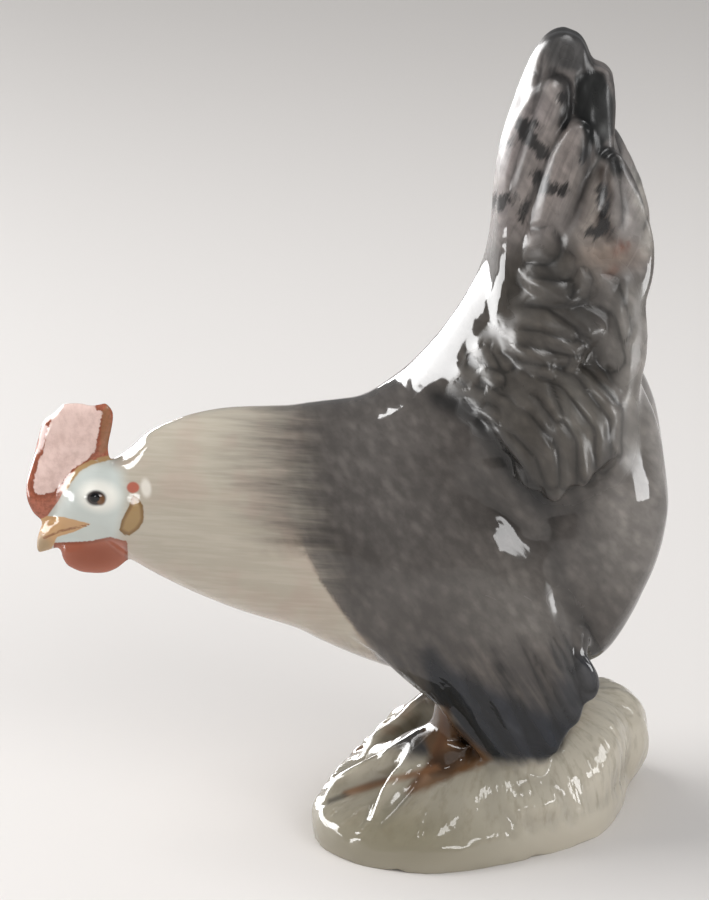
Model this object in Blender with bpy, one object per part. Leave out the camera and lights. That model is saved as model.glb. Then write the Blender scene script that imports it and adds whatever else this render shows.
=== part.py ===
"""A slip-cast porcelain hen, reaching forward with her tail up, on a grassy mound.

The whole figurine is one casting. It is modelled as a sculptor would: solid lumps of clay
for the body, neck, head, tail, feathers, wings, legs and mound overlap each other, a voxel
remesh fuses them into one skin, a light smoothing gives the soft fillets of the glaze, and
the underside is then ground flat, recessed inside its foot rim and bored for the vent that
lets the air out in the kiln.

Metres, +Z up. The head points along -X and the hen's left side faces -Y. The clay is laid
up with the origin on the floor under the bird; the finished casting is moved so that the
origin is under the middle of its bounding box.
"""

import math

import bmesh
import bpy
from mathutils import Vector

# The skin: how the clay is fused, smoothed and thinned out
VOXEL = 0.0009
GLAZE_PASSES = 4
SKIN_TRIANGLES = 10800
RING_SIDES = 28

# The height of the middle of the body over the floor. All of the bird is measured from it
BODY_Z = 0.0700
BODY_HALF_WIDTH = 0.0275
BACK_PINCH = 0.12
# Stations of the body from breast to rump: x, lift, share of the half width, half height
BODY_STATIONS = (
    (-0.0520, 0.0050, 0.42, 0.0140),
    (-0.0460, 0.0042, 0.72, 0.0240),
    (-0.0340, 0.0034, 0.92, 0.0302),
    (-0.0160, 0.0022, 0.99, 0.0356),
    (0.0040, 0.0020, 1.00, 0.0385),
    (0.0200, 0.0045, 0.94, 0.0370),
    (0.0300, 0.0085, 0.80, 0.0300),
    (0.0370, 0.0110, 0.56, 0.0205),
    (0.0405, 0.0125, 0.28, 0.0100),
)

# The neck swells from the head into the shoulders
HEAD_X = -0.0915
HEAD_Z = 0.0085
SHOULDER_X = -0.0400
SHOULDER_Z = 0.0055
# Stations of the neck: share of the way to the shoulder, lift, half width, half height
NECK_STATIONS = (
    (-0.04, -0.0004, 0.0060, 0.0080),
    (0.13, 0.0002, 0.0098, 0.0128),
    (0.24, 0.0012, 0.0130, 0.0174),
    (0.44, 0.0016, 0.0175, 0.0220),
    (0.65, 0.0009, 0.0212, 0.0250),
    (0.88, 0.0001, 0.0236, 0.0270),
    (1.10, 0.0000, 0.0248, 0.0296),
    (1.34, 0.0006, 0.0236, 0.0290),
    (1.60, 0.0004, 0.0170, 0.0220),
)

# The head, and what it carries, measured from the middle of the head
HEAD_LENGTH = 0.0200
HEAD_WIDTH = 0.0160
HEAD_HEIGHT = 0.0216
BEAK_ROOT_X = -0.0050
BEAK_ROOT_Z = -0.0045
BEAK_LENGTH = 0.0134
BEAK_DROOP = 0.58
BEAK_HALF_HEIGHT = 0.0048
BEAK_HALF_WIDTH = 0.0044
COMB_THICKNESS = 0.0036
COMB_LEAN = 0.20
# The comb's rear edge swings towards the near side, more so the higher it is
COMB_TWIST = 0.42
COMB_PIVOT_X = -0.0080
COMB_ROOT_HEIGHT = 0.0120
# The comb's edge, from the beak up the front, over the top and down to the nape: x and z
COMB_EDGE = (
    (-0.0137, -0.0052),
    (-0.0172, -0.0008),
    (-0.0180, 0.0030),
    (-0.0166, 0.0086),
    (-0.0152, 0.0130),
    (-0.0144, 0.0166),
    (-0.0128, 0.0198),
    (-0.0106, 0.0206),
    (-0.0088, 0.0232),
    (-0.0046, 0.0242),
    (-0.0008, 0.0240),
    (0.0012, 0.0252),
    (0.0034, 0.0250),
    (0.0046, 0.0228),
    (0.0040, 0.0184),
    (0.0030, 0.0145),
    (0.0030, 0.0080),
    (-0.0060, -0.0010),
)
WATTLE_X = -0.0010
WATTLE_Z = -0.0124
WATTLE_HALF_LENGTH = 0.0084
WATTLE_HALF_HEIGHT = 0.0052
WATTLE_HALF_THICKNESS = 0.0022
LOBE_X = 0.0088
LOBE_Z = -0.0006
LOBE_HALF_HEIGHT = 0.0064
LOBE_HALF_WIDTH = 0.0023
EYE_X = -0.0006
EYE_Z = 0.0038
EYE_RADIUS = 0.0023

# The core of saddle and tail, in level slices up from the back, with a hollow at the rear
TAIL_HOLLOW = 0.22
# Slices of the core: height over the body's middle, front, rear, half width, and how much
# the slice is tented to a ridge in front
TAIL_SLICES = (
    (0.0120, -0.0340, 0.0410, 0.0250, 0.04),
    (0.0260, -0.0320, 0.0425, 0.0265, 0.06),
    (0.0350, -0.0275, 0.0430, 0.0256, 0.08),
    (0.0409, -0.0200, 0.0425, 0.0242, 0.12),
    (0.0440, -0.0172, 0.0420, 0.0228, 0.15),
    (0.0500, -0.0122, 0.0415, 0.0202, 0.20),
    (0.0570, -0.0078, 0.0408, 0.0172, 0.24),
    (0.0643, -0.0028, 0.0400, 0.0148, 0.27),
    (0.0745, 0.0008, 0.0392, 0.0121, 0.30),
    (0.0835, 0.0018, 0.0380, 0.0104, 0.30),
    (0.0980, 0.0036, 0.0335, 0.0080, 0.30),
    (0.1110, 0.0074, 0.0285, 0.0060, 0.28),
    (0.1205, 0.0112, 0.0245, 0.0042, 0.24),
    (0.1242, 0.0145, 0.0212, 0.0022, 0.20),
)

# How deep each feather is rooted in the mass under it
FEATHER_DEPTH = 0.0050
# How square the section of a feather is: 1 is an oval, and less is squarer
FEATHER_BLUNT = 0.70
# The ruffles come to a soft crest instead
RUFFLE_BLUNT = 1.30
# How the outline of a feather opens and closes: share of its length, share of half width
ROUND_BLADE = ((0.00, 0.55), (0.20, 0.80), (0.45, 1.00), (0.68, 1.00), (0.84, 0.86), (0.94, 0.60), (1.00, 0.20))
FAN_BLADE = ((0.00, 0.60), (0.25, 0.95), (0.42, 1.00), (0.60, 0.86), (0.78, 0.60), (0.92, 0.36), (1.00, 0.14))
TONGUE = ((0.00, 0.40), (0.18, 0.74), (0.42, 1.00), (0.70, 1.00), (0.88, 0.84), (0.96, 0.60), (1.00, 0.34))

# Tail feathers of one side. A spine has rows of x, height over the body's middle and how
# proud of the core it lies, from root to tip; then come half width, thickness and outline
TAIL_FEATHERS = (
    (((0.0110, 0.0560, -0.0010), (0.0135, 0.0880, 0.0000), (0.0170, 0.1110, 0.0000), (0.0188, 0.1256, 0.0000)),
     0.0076, 0.0040, ROUND_BLADE),
    (((0.0215, 0.0680, 0.0000), (0.0252, 0.0970, 0.0012), (0.0268, 0.1095, 0.0014), (0.0262, 0.1175, 0.0012)),
     0.0050, 0.0034, ROUND_BLADE),
    (((0.0050, 0.0520, 0.0000), (0.0070, 0.0830, 0.0022), (0.0100, 0.1010, 0.0030), (0.0165, 0.1145, 0.0030)),
     0.0056, 0.0036, ROUND_BLADE),
    (((0.0140, 0.0520, 0.0010), (0.0160, 0.0780, 0.0030), (0.0190, 0.0925, 0.0040), (0.0230, 0.1062, 0.0040)),
     0.0056, 0.0036, ROUND_BLADE),
    (((0.0262, 0.0560, 0.0000), (0.0288, 0.0720, 0.0026), (0.0302, 0.0850, 0.0044), (0.0295, 0.1000, 0.0050)),
     0.0116, 0.0038, FAN_BLADE),
)

# Saddle ruffles of one side, as above: the three bunches of soft feathers that cover the
# root of the tail, each feather lying over the one behind it
SADDLE_RUFFLES = (
    (((0.0084, 0.0720, 0.0005), (0.0125, 0.0790, 0.0020), (0.0162, 0.0850, 0.0026)), 0.0046, 0.0050, TONGUE),
    (((0.0090, 0.0730, 0.0009), (0.0165, 0.0752, 0.0030), (0.0234, 0.0750, 0.0034)), 0.0042, 0.0050, TONGUE),
    (((0.0084, 0.0710, 0.0009), (0.0150, 0.0692, 0.0038), (0.0214, 0.0660, 0.0042)), 0.0040, 0.0050, TONGUE),
    (((0.0050, 0.0625, 0.0005), (0.0170, 0.0642, 0.0022), (0.0274, 0.0572, 0.0028)), 0.0046, 0.0050, TONGUE),
    (((0.0050, 0.0605, 0.0009), (0.0140, 0.0592, 0.0032), (0.0232, 0.0524, 0.0036)), 0.0044, 0.0050, TONGUE),
    (((0.0040, 0.0585, 0.0009), (0.0100, 0.0557, 0.0038), (0.0166, 0.0504, 0.0042)), 0.0044, 0.0050, TONGUE),
    (((0.0072, 0.0512, 0.0005), (0.0227, 0.0479, 0.0018), (0.0304, 0.0403, 0.0022), (0.0326, 0.0312, 0.0026)),
     0.0044, 0.0050, TONGUE),
    (((0.0067, 0.0497, 0.0007), (0.0191, 0.0462, 0.0026), (0.0266, 0.0365, 0.0028), (0.0289, 0.0268, 0.0032)),
     0.0044, 0.0050, TONGUE),
    (((0.0062, 0.0479, 0.0009), (0.0155, 0.0441, 0.0034), (0.0218, 0.0339, 0.0036), (0.0236, 0.0238, 0.0038)),
     0.0044, 0.0050, TONGUE),
    (((0.0057, 0.0462, 0.0009), (0.0120, 0.0416, 0.0038), (0.0166, 0.0314, 0.0042), (0.0174, 0.0206, 0.0044)),
     0.0044, 0.0050, TONGUE),
    (((0.0048, 0.0441, 0.0007), (0.0084, 0.0390, 0.0034), (0.0118, 0.0314, 0.0040), (0.0124, 0.0238, 0.0040)),
     0.0046, 0.0050, TONGUE),
    (((0.0000, 0.0450, 0.0002), (0.0040, 0.0390, 0.0022), (0.0068, 0.0330, 0.0028)), 0.0044, 0.0046, TONGUE),
    (((-0.0010, 0.0540, 0.0002), (0.0036, 0.0490, 0.0016), (0.0062, 0.0440, 0.0022)), 0.0044, 0.0046, TONGUE),
    (((-0.0060, 0.0490, 0.0000), (-0.0020, 0.0440, 0.0008), (0.0006, 0.0390, 0.0014)), 0.0044, 0.0040, TONGUE),
)

# Smooth coverts under the tail, on each side of the rear
COVERTS = (
    (((0.0345, 0.0360, 0.0000), (0.0350, 0.0540, 0.0030), (0.0335, 0.0700, 0.0038)), 0.0050, 0.0044, TONGUE),
)

# Where the feathers run over a change of form with no edge: x, height over the body's
# middle, reach in x, reach in height. First the mantle over the shoulders, then the rump
SOFT_PASSES = 160
SOFT_PLACES = (
    (-0.0220, 0.0270, 0.0330, 0.0230),
    (0.0440, 0.0330, 0.0150, 0.0200),
)

# The fluff of the rump: one lobe on each side. Height, x, y, half length, half width
RUMP_LOBE = (
    (-0.0285, 0.0250, 0.0070, 0.0020, 0.0020),
    (-0.0255, 0.0252, 0.0072, 0.0060, 0.0065),
    (-0.0190, 0.0252, 0.0078, 0.0100, 0.0110),
    (-0.0100, 0.0256, 0.0084, 0.0138, 0.0136),
    (0.0010, 0.0262, 0.0088, 0.0172, 0.0146),
    (0.0130, 0.0268, 0.0088, 0.0184, 0.0146),
    (0.0240, 0.0270, 0.0086, 0.0174, 0.0138),
    (0.0340, 0.0276, 0.0080, 0.0148, 0.0120),
    (0.0420, 0.0284, 0.0072, 0.0100, 0.0085),
    (0.0460, 0.0288, 0.0070, 0.0030, 0.0030),
)

# The folded wing as a blade over the flank, shoulder to tip: x, height over the body's
# middle, half breadth, how far its middle lies inside the flank, half thickness, and how much
# its rear edge stands out (under 0 it tucks in under the mantle)
WING_BLUNT = 0.94
WING_STATIONS = (
    (-0.0460, 0.0120, 0.0050, 0.0160, 0.0040, -0.14),
    (-0.0380, 0.0110, 0.0140, 0.0136, 0.0068, -0.16),
    (-0.0290, 0.0090, 0.0200, 0.0114, 0.0084, -0.15),
    (-0.0190, 0.0050, 0.0244, 0.0088, 0.0094, -0.09),
    (-0.0095, -0.0010, 0.0258, 0.0066, 0.0098, 0.01),
    (0.0000, -0.0160, 0.0218, 0.0054, 0.0088, 0.10),
    (0.0055, -0.0250, 0.0186, 0.0054, 0.0070, 0.11),
    (0.0100, -0.0340, 0.0150, 0.0060, 0.0054, 0.11),
    (0.0125, -0.0430, 0.0100, 0.0066, 0.0042, 0.11),
    (0.0140, -0.0490, 0.0040, 0.0070, 0.0026, 0.11),
)
# Flight feathers: root x and height, tip x and height, half width, depth in the flank
FLIGHT_FEATHERS = (
    (-0.0130, -0.0230, 0.0118, -0.0535, 0.0050, 0.0048),
    (-0.0080, -0.0215, 0.0160, -0.0530, 0.0052, 0.0036),
    (-0.0020, -0.0190, 0.0192, -0.0460, 0.0054, 0.0028),
    (0.0040, -0.0160, 0.0240, -0.0385, 0.0058, 0.0030),
    (0.0080, -0.0120, 0.0280, -0.0320, 0.0062, 0.0036),
    (0.0120, -0.0080, 0.0252, -0.0215, 0.0046, 0.0050),
)
FLIGHT_THICKNESS = 0.0052
FLIGHT_TUCK = 0.90

# Legs: how far apart, and stations down from the belly: share of the drop, x, radius
LEG_SPREAD = 0.0300
LEG_TOP_Z = -0.0260
LEG_STATIONS = (
    (0.00, -0.0020, 0.0072),
    (0.22, -0.0042, 0.0058),
    (0.45, -0.0050, 0.0054),
    (0.65, -0.0058, 0.0062),
    (0.85, -0.0088, 0.0074),
    (1.00, -0.0108, 0.0090),
)
TOE_RADIUS = 0.0030
CLAW_RADIUS = 0.0013
FOOT_SINK = 0.0040
# Stations of a toe: share of the way from the heel to the tip, lift over the mound, and
# share of the toe's radius
TOE_STATIONS = (
    (0.30, 0.0038, 1.15),
    (0.62, 0.0024, 1.00),
    (1.00, 0.0018, 0.92),
)
# Toes of the left and of the right foot: tip x, tip y, claw x, claw y
LEFT_TOES = (
    (-0.0320, -0.0150, -0.0366, -0.0180),
    (-0.0206, -0.0260, -0.0240, -0.0325),
    (-0.0236, -0.0050, -0.0270, -0.0034),
)
RIGHT_TOES = (
    (-0.0220, 0.0140, -0.0262, 0.0130),
    (-0.0190, 0.0240, -0.0225, 0.0285),
    (-0.0240, 0.0060, -0.0280, 0.0035),
)

# The mound. Its foot line, near side from the left, then round by the right
GROUND_EDGE = (
    (-0.0400, -0.0180),
    (-0.0365, -0.0285),
    (-0.0270, -0.0370),
    (-0.0120, -0.0410),
    (0.0020, -0.0375),
    (0.0168, -0.0298),
    (0.0300, -0.0190),
    (0.0362, -0.0040),
    (0.0385, 0.0120),
    (0.0372, 0.0260),
    (0.0260, 0.0375),
    (0.0060, 0.0415),
    (-0.0140, 0.0365),
    (-0.0270, 0.0240),
    (-0.0332, 0.0085),
    (-0.0378, -0.0055),
)
RIM_HEIGHT = 0.0080
SUMMIT_Z = 0.0285
# Contours of the mound: share of the rise, x, y, share of the foot line's reach
CONTOURS = (
    (0.06, 0.0020, 0.0000, 0.930),
    (0.16, 0.0046, 0.0000, 0.860),
    (0.28, 0.0080, 0.0000, 0.780),
    (0.42, 0.0112, 0.0000, 0.700),
    (0.58, 0.0142, 0.0005, 0.600),
    (0.74, 0.0168, 0.0015, 0.480),
    (0.88, 0.0186, 0.0030, 0.330),
    (1.00, 0.0196, 0.0050, 0.120),
)
# Hummocks that carry the wing tips and the belly: x, y, how far the top lies under the
# body's middle, reach
RESTS = (
    (0.0090, -0.0180, 0.0510, 0.0140),
    (0.0090, 0.0180, 0.0510, 0.0140),
    (0.0100, 0.0000, 0.0300, 0.0150),
)
# The tussock behind the tail: x, y, height of the top, reach
TUSSOCK = (0.0300, 0.0140, 0.0272, 0.0134)
HUMMOCK_Z = 0.0120

# The ground foot: rim width, depth of the recess inside it, and the vent
FOOT_RIM = 0.0060
FOOT_RECESS = 0.0014
VENT_RADIUS = 0.0030
VENT_DEPTH = 0.0120
VENT_X = 0.0040
VENT_Y = 0.0040
FLOOR_CUT = 0.0450


def clear_scene():
    """Start from an empty scene."""
    for item in list(bpy.data.objects):
        bpy.data.objects.remove(item, do_unlink=True)


def smooth_rows(rows, steps):
    """Rows of numbers, joined by a smooth curve through every one of them."""
    last = len(rows) - 1
    result = []
    for index in range(last):
        before = rows[max(index - 1, 0)]
        here = rows[index]
        there = rows[index + 1]
        after = rows[min(index + 2, last)]
        for step in range(steps):
            t = step / steps
            row = []
            for a, b, c, d in zip(before, here, there, after):
                pull = (c - a) * t + (2 * a - 5 * b + 4 * c - d) * t * t + (3 * b - a - 3 * c + d) * t ** 3
                row.append(b + 0.5 * pull)
            result.append(tuple(row))
    result.append(tuple(rows[last]))
    return result


def smooth_loop(points, steps):
    """A closed smooth curve through the points."""
    count = len(points)
    wrapped = [points[index % count] for index in range(-1, count + 2)]
    curve = smooth_rows(wrapped, steps)
    return curve[steps:steps * (count + 1)]


def oval(centre, across, up, pinch=0.0, dent=0.0, blunt=1.0):
    """A ring of points, narrowed towards up by pinch and dented at its bottom by dent.

    A blunt under 1 squares the ring up, as the edge of a thick feather is."""
    ring = []
    for step in range(RING_SIDES):
        angle = 2.0 * math.pi * step / RING_SIDES
        wide = math.copysign(abs(math.cos(angle)) ** blunt, math.cos(angle)) * (1.0 - pinch * math.sin(angle))
        high = math.copysign(abs(math.sin(angle)) ** blunt, math.sin(angle))
        if high < 0.0:
            high += dent * math.exp(-(wide / 0.45) ** 2)
        ring.append(centre + across * wide + up * high)
    return ring


def skin(clay, rings):
    """Join rings of equal length into one closed lump, with a pole at each end."""
    loops = [[clay.verts.new(point) for point in ring] for ring in rings]
    count = len(loops[0])
    for lower, upper in zip(loops, loops[1:]):
        for index in range(count):
            after = (index + 1) % count
            clay.faces.new((lower[index], lower[after], upper[after], upper[index]))
    for loop, turned in ((loops[0], True), (loops[-1], False)):
        middle = sum((vert.co for vert in loop), Vector()) / count
        pole = clay.verts.new(middle)
        for index in range(count):
            after = (index + 1) % count
            if turned:
                clay.faces.new((loop[after], loop[index], pole))
            else:
                clay.faces.new((loop[index], loop[after], pole))


def lay_comb(clay, outline, centre, thickness):
    """The comb: a flat leaf with a soft edge that leans over and twists as it rises."""
    middle_x = sum(point[0] for point in outline) / len(outline)
    middle_z = sum(point[1] for point in outline) / len(outline)
    rings = []
    for level, share in ((-0.50, 0.80), (-0.30, 0.95), (0.0, 1.0), (0.30, 0.95), (0.50, 0.80)):
        ring = []
        for x, z in outline:
            inner_x = middle_x + (x - middle_x) * share
            inner_z = middle_z + (z - middle_z) * share
            risen = min(max(inner_z, 0.0) / COMB_ROOT_HEIGHT, 1.0)
            tilt = COMB_LEAN * max(inner_z, 0.0) - COMB_TWIST * (inner_x - COMB_PIVOT_X) * risen
            ring.append(centre + Vector((inner_x, level * thickness + tilt, inner_z)))
        rings.append(ring)
    skin(clay, rings)


def ball(clay, centre, half_x, half_y, half_z):
    """A smooth egg of clay."""
    rings = []
    for step in range(1, 12):
        angle = math.pi * step / 12
        spread = math.sin(angle)
        middle = centre - Vector((0.0, 0.0, half_z * math.cos(angle)))
        rings.append(oval(middle, Vector((half_x * spread, 0.0, 0.0)), Vector((0.0, half_y * spread, 0.0))))
    skin(clay, rings)


def tube(clay, path):
    """A round limb along rows of x, y, z and radius."""
    rings = []
    for index, row in enumerate(path):
        before = Vector(path[max(index - 1, 0)][:3])
        after = Vector(path[min(index + 1, len(path) - 1)][:3])
        run = (after - before).normalized()
        side = run.cross(Vector((0.0, 0.0, 1.0)))
        if side.length < 0.2:
            side = run.cross(Vector((1.0, 0.0, 0.0)))
        side.normalize()
        up = side.cross(run).normalized()
        rings.append(oval(Vector(row[:3]), side * row[3], up * row[3]))
    skin(clay, rings)


def lay_body(clay):
    """The egg of the body, narrower along the back."""
    rings = []
    for x, lift, width, height in smooth_rows(BODY_STATIONS, 3):
        centre = Vector((x, 0.0, BODY_Z + lift))
        across = Vector((0.0, BODY_HALF_WIDTH * width, 0.0))
        rings.append(oval(centre, across, Vector((0.0, 0.0, height)), BACK_PINCH))
    skin(clay, rings)


def lay_neck(clay):
    """The neck, stretched forward and low, from the head to the shoulders."""
    rings = []
    for share, lift, width, height in smooth_rows(NECK_STATIONS, 3):
        x = HEAD_X + (SHOULDER_X - HEAD_X) * share
        z = BODY_Z + HEAD_Z + (SHOULDER_Z - HEAD_Z) * share + lift
        rings.append(oval(Vector((x, 0.0, z)), Vector((0.0, width, 0.0)), Vector((0.0, 0.0, height)), BACK_PINCH))
    skin(clay, rings)


def lay_head(clay):
    """The skull, beak, comb, wattles, ear lobes and eyes."""
    middle = Vector((HEAD_X, 0.0, BODY_Z + HEAD_Z))
    ball(clay, middle, HEAD_LENGTH / 2, HEAD_WIDTH / 2, HEAD_HEIGHT / 2)
    lay_beak(clay, middle)
    lay_comb(clay, smooth_loop(COMB_EDGE, 3), middle, COMB_THICKNESS)
    for side in (-1.0, 1.0):
        lay_face(clay, middle, side)


def lay_beak(clay, middle):
    """A short hooked cone."""
    root = middle + Vector((BEAK_ROOT_X, 0.0, BEAK_ROOT_Z))
    run = Vector((-math.cos(BEAK_DROOP), 0.0, -math.sin(BEAK_DROOP)))
    up = Vector((-run.z, 0.0, run.x)) * -1.0
    rings = []
    for share, size, drop in smooth_rows(((0.0, 1.0, 0.0), (0.4, 0.86, 0.02), (0.75, 0.56, -0.02), (1.0, 0.16, -0.12)), 3):
        centre = root + run * BEAK_LENGTH * share + up * BEAK_LENGTH * drop
        rings.append(oval(centre, Vector((0.0, BEAK_HALF_WIDTH * size, 0.0)), up * BEAK_HALF_HEIGHT * size))
    skin(clay, rings)


def lay_face(clay, middle, side):
    """The wattle, ear lobe and eye on one side of the head."""
    cheek = HEAD_WIDTH / 2
    wattle = middle + Vector((WATTLE_X, side * cheek * 0.42, WATTLE_Z))
    ball(clay, wattle, WATTLE_HALF_LENGTH, WATTLE_HALF_THICKNESS, WATTLE_HALF_HEIGHT)
    lobe = middle + Vector((LOBE_X, side * cheek * 0.92, LOBE_Z))
    rings = []
    for share, size, back in smooth_rows(((-1.0, 0.3, -0.35), (-0.5, 1.0, -0.1), (0.2, 1.0, 0.1), (1.0, 0.3, -0.1)), 3):
        centre = lobe + Vector((LOBE_HALF_WIDTH * back * 2.0, 0.0, LOBE_HALF_HEIGHT * share))
        wide = LOBE_HALF_WIDTH * size
        rings.append(oval(centre, Vector((wide, 0.0, 0.0)), Vector((0.0, side * wide * 1.4, 0.0))))
    skin(clay, rings)
    eye = middle + Vector((EYE_X, side * cheek * 0.80, EYE_Z))
    ball(clay, eye, EYE_RADIUS, EYE_RADIUS, EYE_RADIUS)


def lay_tail_core(clay):
    """Saddle and tail as level slices, sharp to the front and hollowed at the rear."""
    rings = []
    for z, front, rear, width, tent in smooth_rows(TAIL_SLICES, 3):
        centre = Vector(((front + rear) / 2, 0.0, BODY_Z + z))
        forward = Vector(((front - rear) / 2, 0.0, 0.0))
        rings.append(oval(centre, Vector((0.0, width, 0.0)), forward, tent, TAIL_HOLLOW))
    skin(clay, rings)


def core_point(x, z, side, proud):
    """A point on one side of the tail core, standing proud of it by a little."""
    rows = smooth_rows(TAIL_SLICES, 6)
    row = min(rows, key=lambda item: abs(item[0] - z))
    middle = (row[1] + row[2]) / 2
    reach = (row[2] - row[1]) / 2
    forward = max(-0.96, min(0.96, (middle - x) / reach))
    wide = row[3] * math.sqrt(1.0 - forward * forward) * (1.0 - row[4] * forward)
    return Vector((x, side * (wide + proud), BODY_Z + z))


def core_normal(x, z, side):
    """Which way the side of the tail core faces there."""
    step = 0.0025
    along = core_point(x + step, z, side, 0.0) - core_point(x - step, z, side, 0.0)
    rise = core_point(x, z + step, side, 0.0) - core_point(x, z - step, side, 0.0)
    return rise.cross(along).normalized() * side


def lay_feather(clay, spine, half_width, thickness, outline, side, blunt):
    """A feather laid along the side of the tail core."""
    path = smooth_rows(spine, 6)
    rings = []
    for share, wide in smooth_rows(outline, 2):
        place = share * (len(path) - 1)
        low = min(int(place), len(path) - 2)
        part = place - low
        x, z, proud = (a + (b - a) * part for a, b in zip(path[low], path[low + 1]))
        run = Vector((path[low + 1][0] - path[low][0], 0.0, path[low + 1][1] - path[low][1]))
        face = core_normal(x, z, side)
        across = face.cross(run).normalized()
        centre = core_point(x, z, side, proud)
        crown = thickness / 2 * (0.55 + 0.45 * wide)
        centre += face * (crown - FEATHER_DEPTH) / 2
        rise = face * (crown + FEATHER_DEPTH) / 2
        rings.append(oval(centre, across * half_width * wide, rise, blunt=blunt))
    skin(clay, rings)


def lay_rump(clay, side):
    """One smooth lobe of the fluff behind the legs."""
    rings = []
    for z, x, y, long, wide in smooth_rows(RUMP_LOBE, 3):
        centre = Vector((x, side * y, BODY_Z + z))
        rings.append(oval(centre, Vector((long, 0.0, 0.0)), Vector((0.0, wide, 0.0))))
    skin(clay, rings)


def lay_wing(clay, side):
    """The folded wing, a broad blade that lies over the flank, and its flight feathers."""
    rows = smooth_rows(WING_STATIONS, 3)
    rings = []
    for index, (x, z, breadth, inside, thick, twist) in enumerate(rows):
        before = rows[max(index - 1, 0)]
        after = rows[min(index + 1, len(rows) - 1)]
        run = Vector((after[0] - before[0], 0.0, after[1] - before[1])).normalized()
        across = Vector((-run.z, side * twist, run.x))
        centre = Vector((x, side * (BODY_HALF_WIDTH - inside), BODY_Z + z))
        rings.append(oval(centre, across * breadth, Vector((0.0, side * thick, 0.0)), blunt=WING_BLUNT))
    skin(clay, rings)
    for feather in FLIGHT_FEATHERS:
        lay_flight_feather(clay, feather, side)


def lay_flight_feather(clay, feather, side):
    """One long feather at the rear edge of the wing."""
    root_x, root_z, tip_x, tip_z, half_width, inside = feather
    y = side * (BODY_HALF_WIDTH - inside)
    root = Vector((root_x, y, BODY_Z + root_z))
    tip = Vector((tip_x, y * FLIGHT_TUCK, BODY_Z + tip_z))
    run = tip - root
    outward = Vector((0.0, side, 0.0))
    across = run.cross(outward).normalized()
    rings = []
    for share, wide in smooth_rows(ROUND_BLADE, 2):
        centre = root + run * share
        crown = outward * FLIGHT_THICKNESS / 2 * (0.6 + 0.4 * wide)
        rings.append(oval(centre, across * half_width * wide, crown, blunt=FEATHER_BLUNT))
    skin(clay, rings)


def edge_reach(edge, x, y):
    """How far the foot line lies from the middle in the direction of a point."""
    angle = math.atan2(y, x)
    nearest = min(edge, key=lambda point: abs(math.remainder(math.atan2(point[1], point[0]) - angle, 2.0 * math.pi)))
    return math.hypot(nearest[0], nearest[1])


def ground_z(x, y):
    """The height of the mound at a place, read from its contours."""
    edge = smooth_loop(GROUND_EDGE, 8)
    inside_before = 0.965 - math.hypot(x, y) / edge_reach(edge, x, y)
    height_before = RIM_HEIGHT
    for rise, middle_x, middle_y, share in CONTOURS:
        away_x = x - middle_x
        away_y = y - middle_y
        inside = share - math.hypot(away_x, away_y) / edge_reach(edge, away_x, away_y)
        height = RIM_HEIGHT + (SUMMIT_Z - RIM_HEIGHT) * rise
        if inside < 0.0:
            part = max(inside_before, 0.0) / (max(inside_before, 0.0) - inside)
            return height_before + (height - height_before) * part
        inside_before = inside
        height_before = height
    return SUMMIT_Z


def lay_leg(clay, side, toes):
    """A stout shank that flares into the foot, with its toes and claws."""
    top = BODY_Z + LEG_TOP_Z
    y = side * LEG_SPREAD / 2
    heel_x = LEG_STATIONS[-1][1]
    floor = ground_z(heel_x, y) - FOOT_SINK
    path = [(x, y, top + (floor - top) * share, radius) for share, x, radius in LEG_STATIONS]
    tube(clay, smooth_rows(path, 3))
    for tip_x, tip_y, claw_x, claw_y in toes:
        rows = [(heel_x + 0.0020, y, floor + FOOT_SINK + 0.0050, TOE_RADIUS * 1.5)]
        for share, lift, radius in TOE_STATIONS:
            toe_x = heel_x + (tip_x - heel_x) * share
            toe_y = y + (tip_y - y) * share
            rows.append((toe_x, toe_y, ground_z(toe_x, toe_y) + lift, TOE_RADIUS * radius))
        middle = ((tip_x + claw_x) / 2, (tip_y + claw_y) / 2)
        rows.append((middle[0], middle[1], ground_z(*middle) + 0.0006, (TOE_RADIUS + CLAW_RADIUS) / 2))
        rows.append((claw_x, claw_y, ground_z(claw_x, claw_y), CLAW_RADIUS))
        tube(clay, smooth_rows(rows, 3))


def lay_ground(clay):
    """The mound: an upright rim, then contours that close in on the summit, and hummocks."""
    edge = smooth_loop(GROUND_EDGE, 4)
    rim = ((-0.0040, 0.96), (0.0, 0.985), (RIM_HEIGHT * 0.45, 1.0), (RIM_HEIGHT * 0.8, 0.99), (RIM_HEIGHT, 0.965))
    rings = []
    for z, share in rim:
        rings.append([Vector((x * share, y * share, z)) for x, y in edge])
    for rise, middle_x, middle_y, share in CONTOURS:
        z = RIM_HEIGHT + (SUMMIT_Z - RIM_HEIGHT) * rise
        rings.append([Vector((middle_x + x * share, middle_y + y * share, z)) for x, y in edge])
    skin(clay, rings)
    rests = [(x, y, BODY_Z - drop, reach) for x, y, drop, reach in RESTS]
    for x, y, top, reach in rests + [TUSSOCK]:
        ball(clay, Vector((x, y, HUMMOCK_Z)), reach, reach, top - HUMMOCK_Z)


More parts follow.
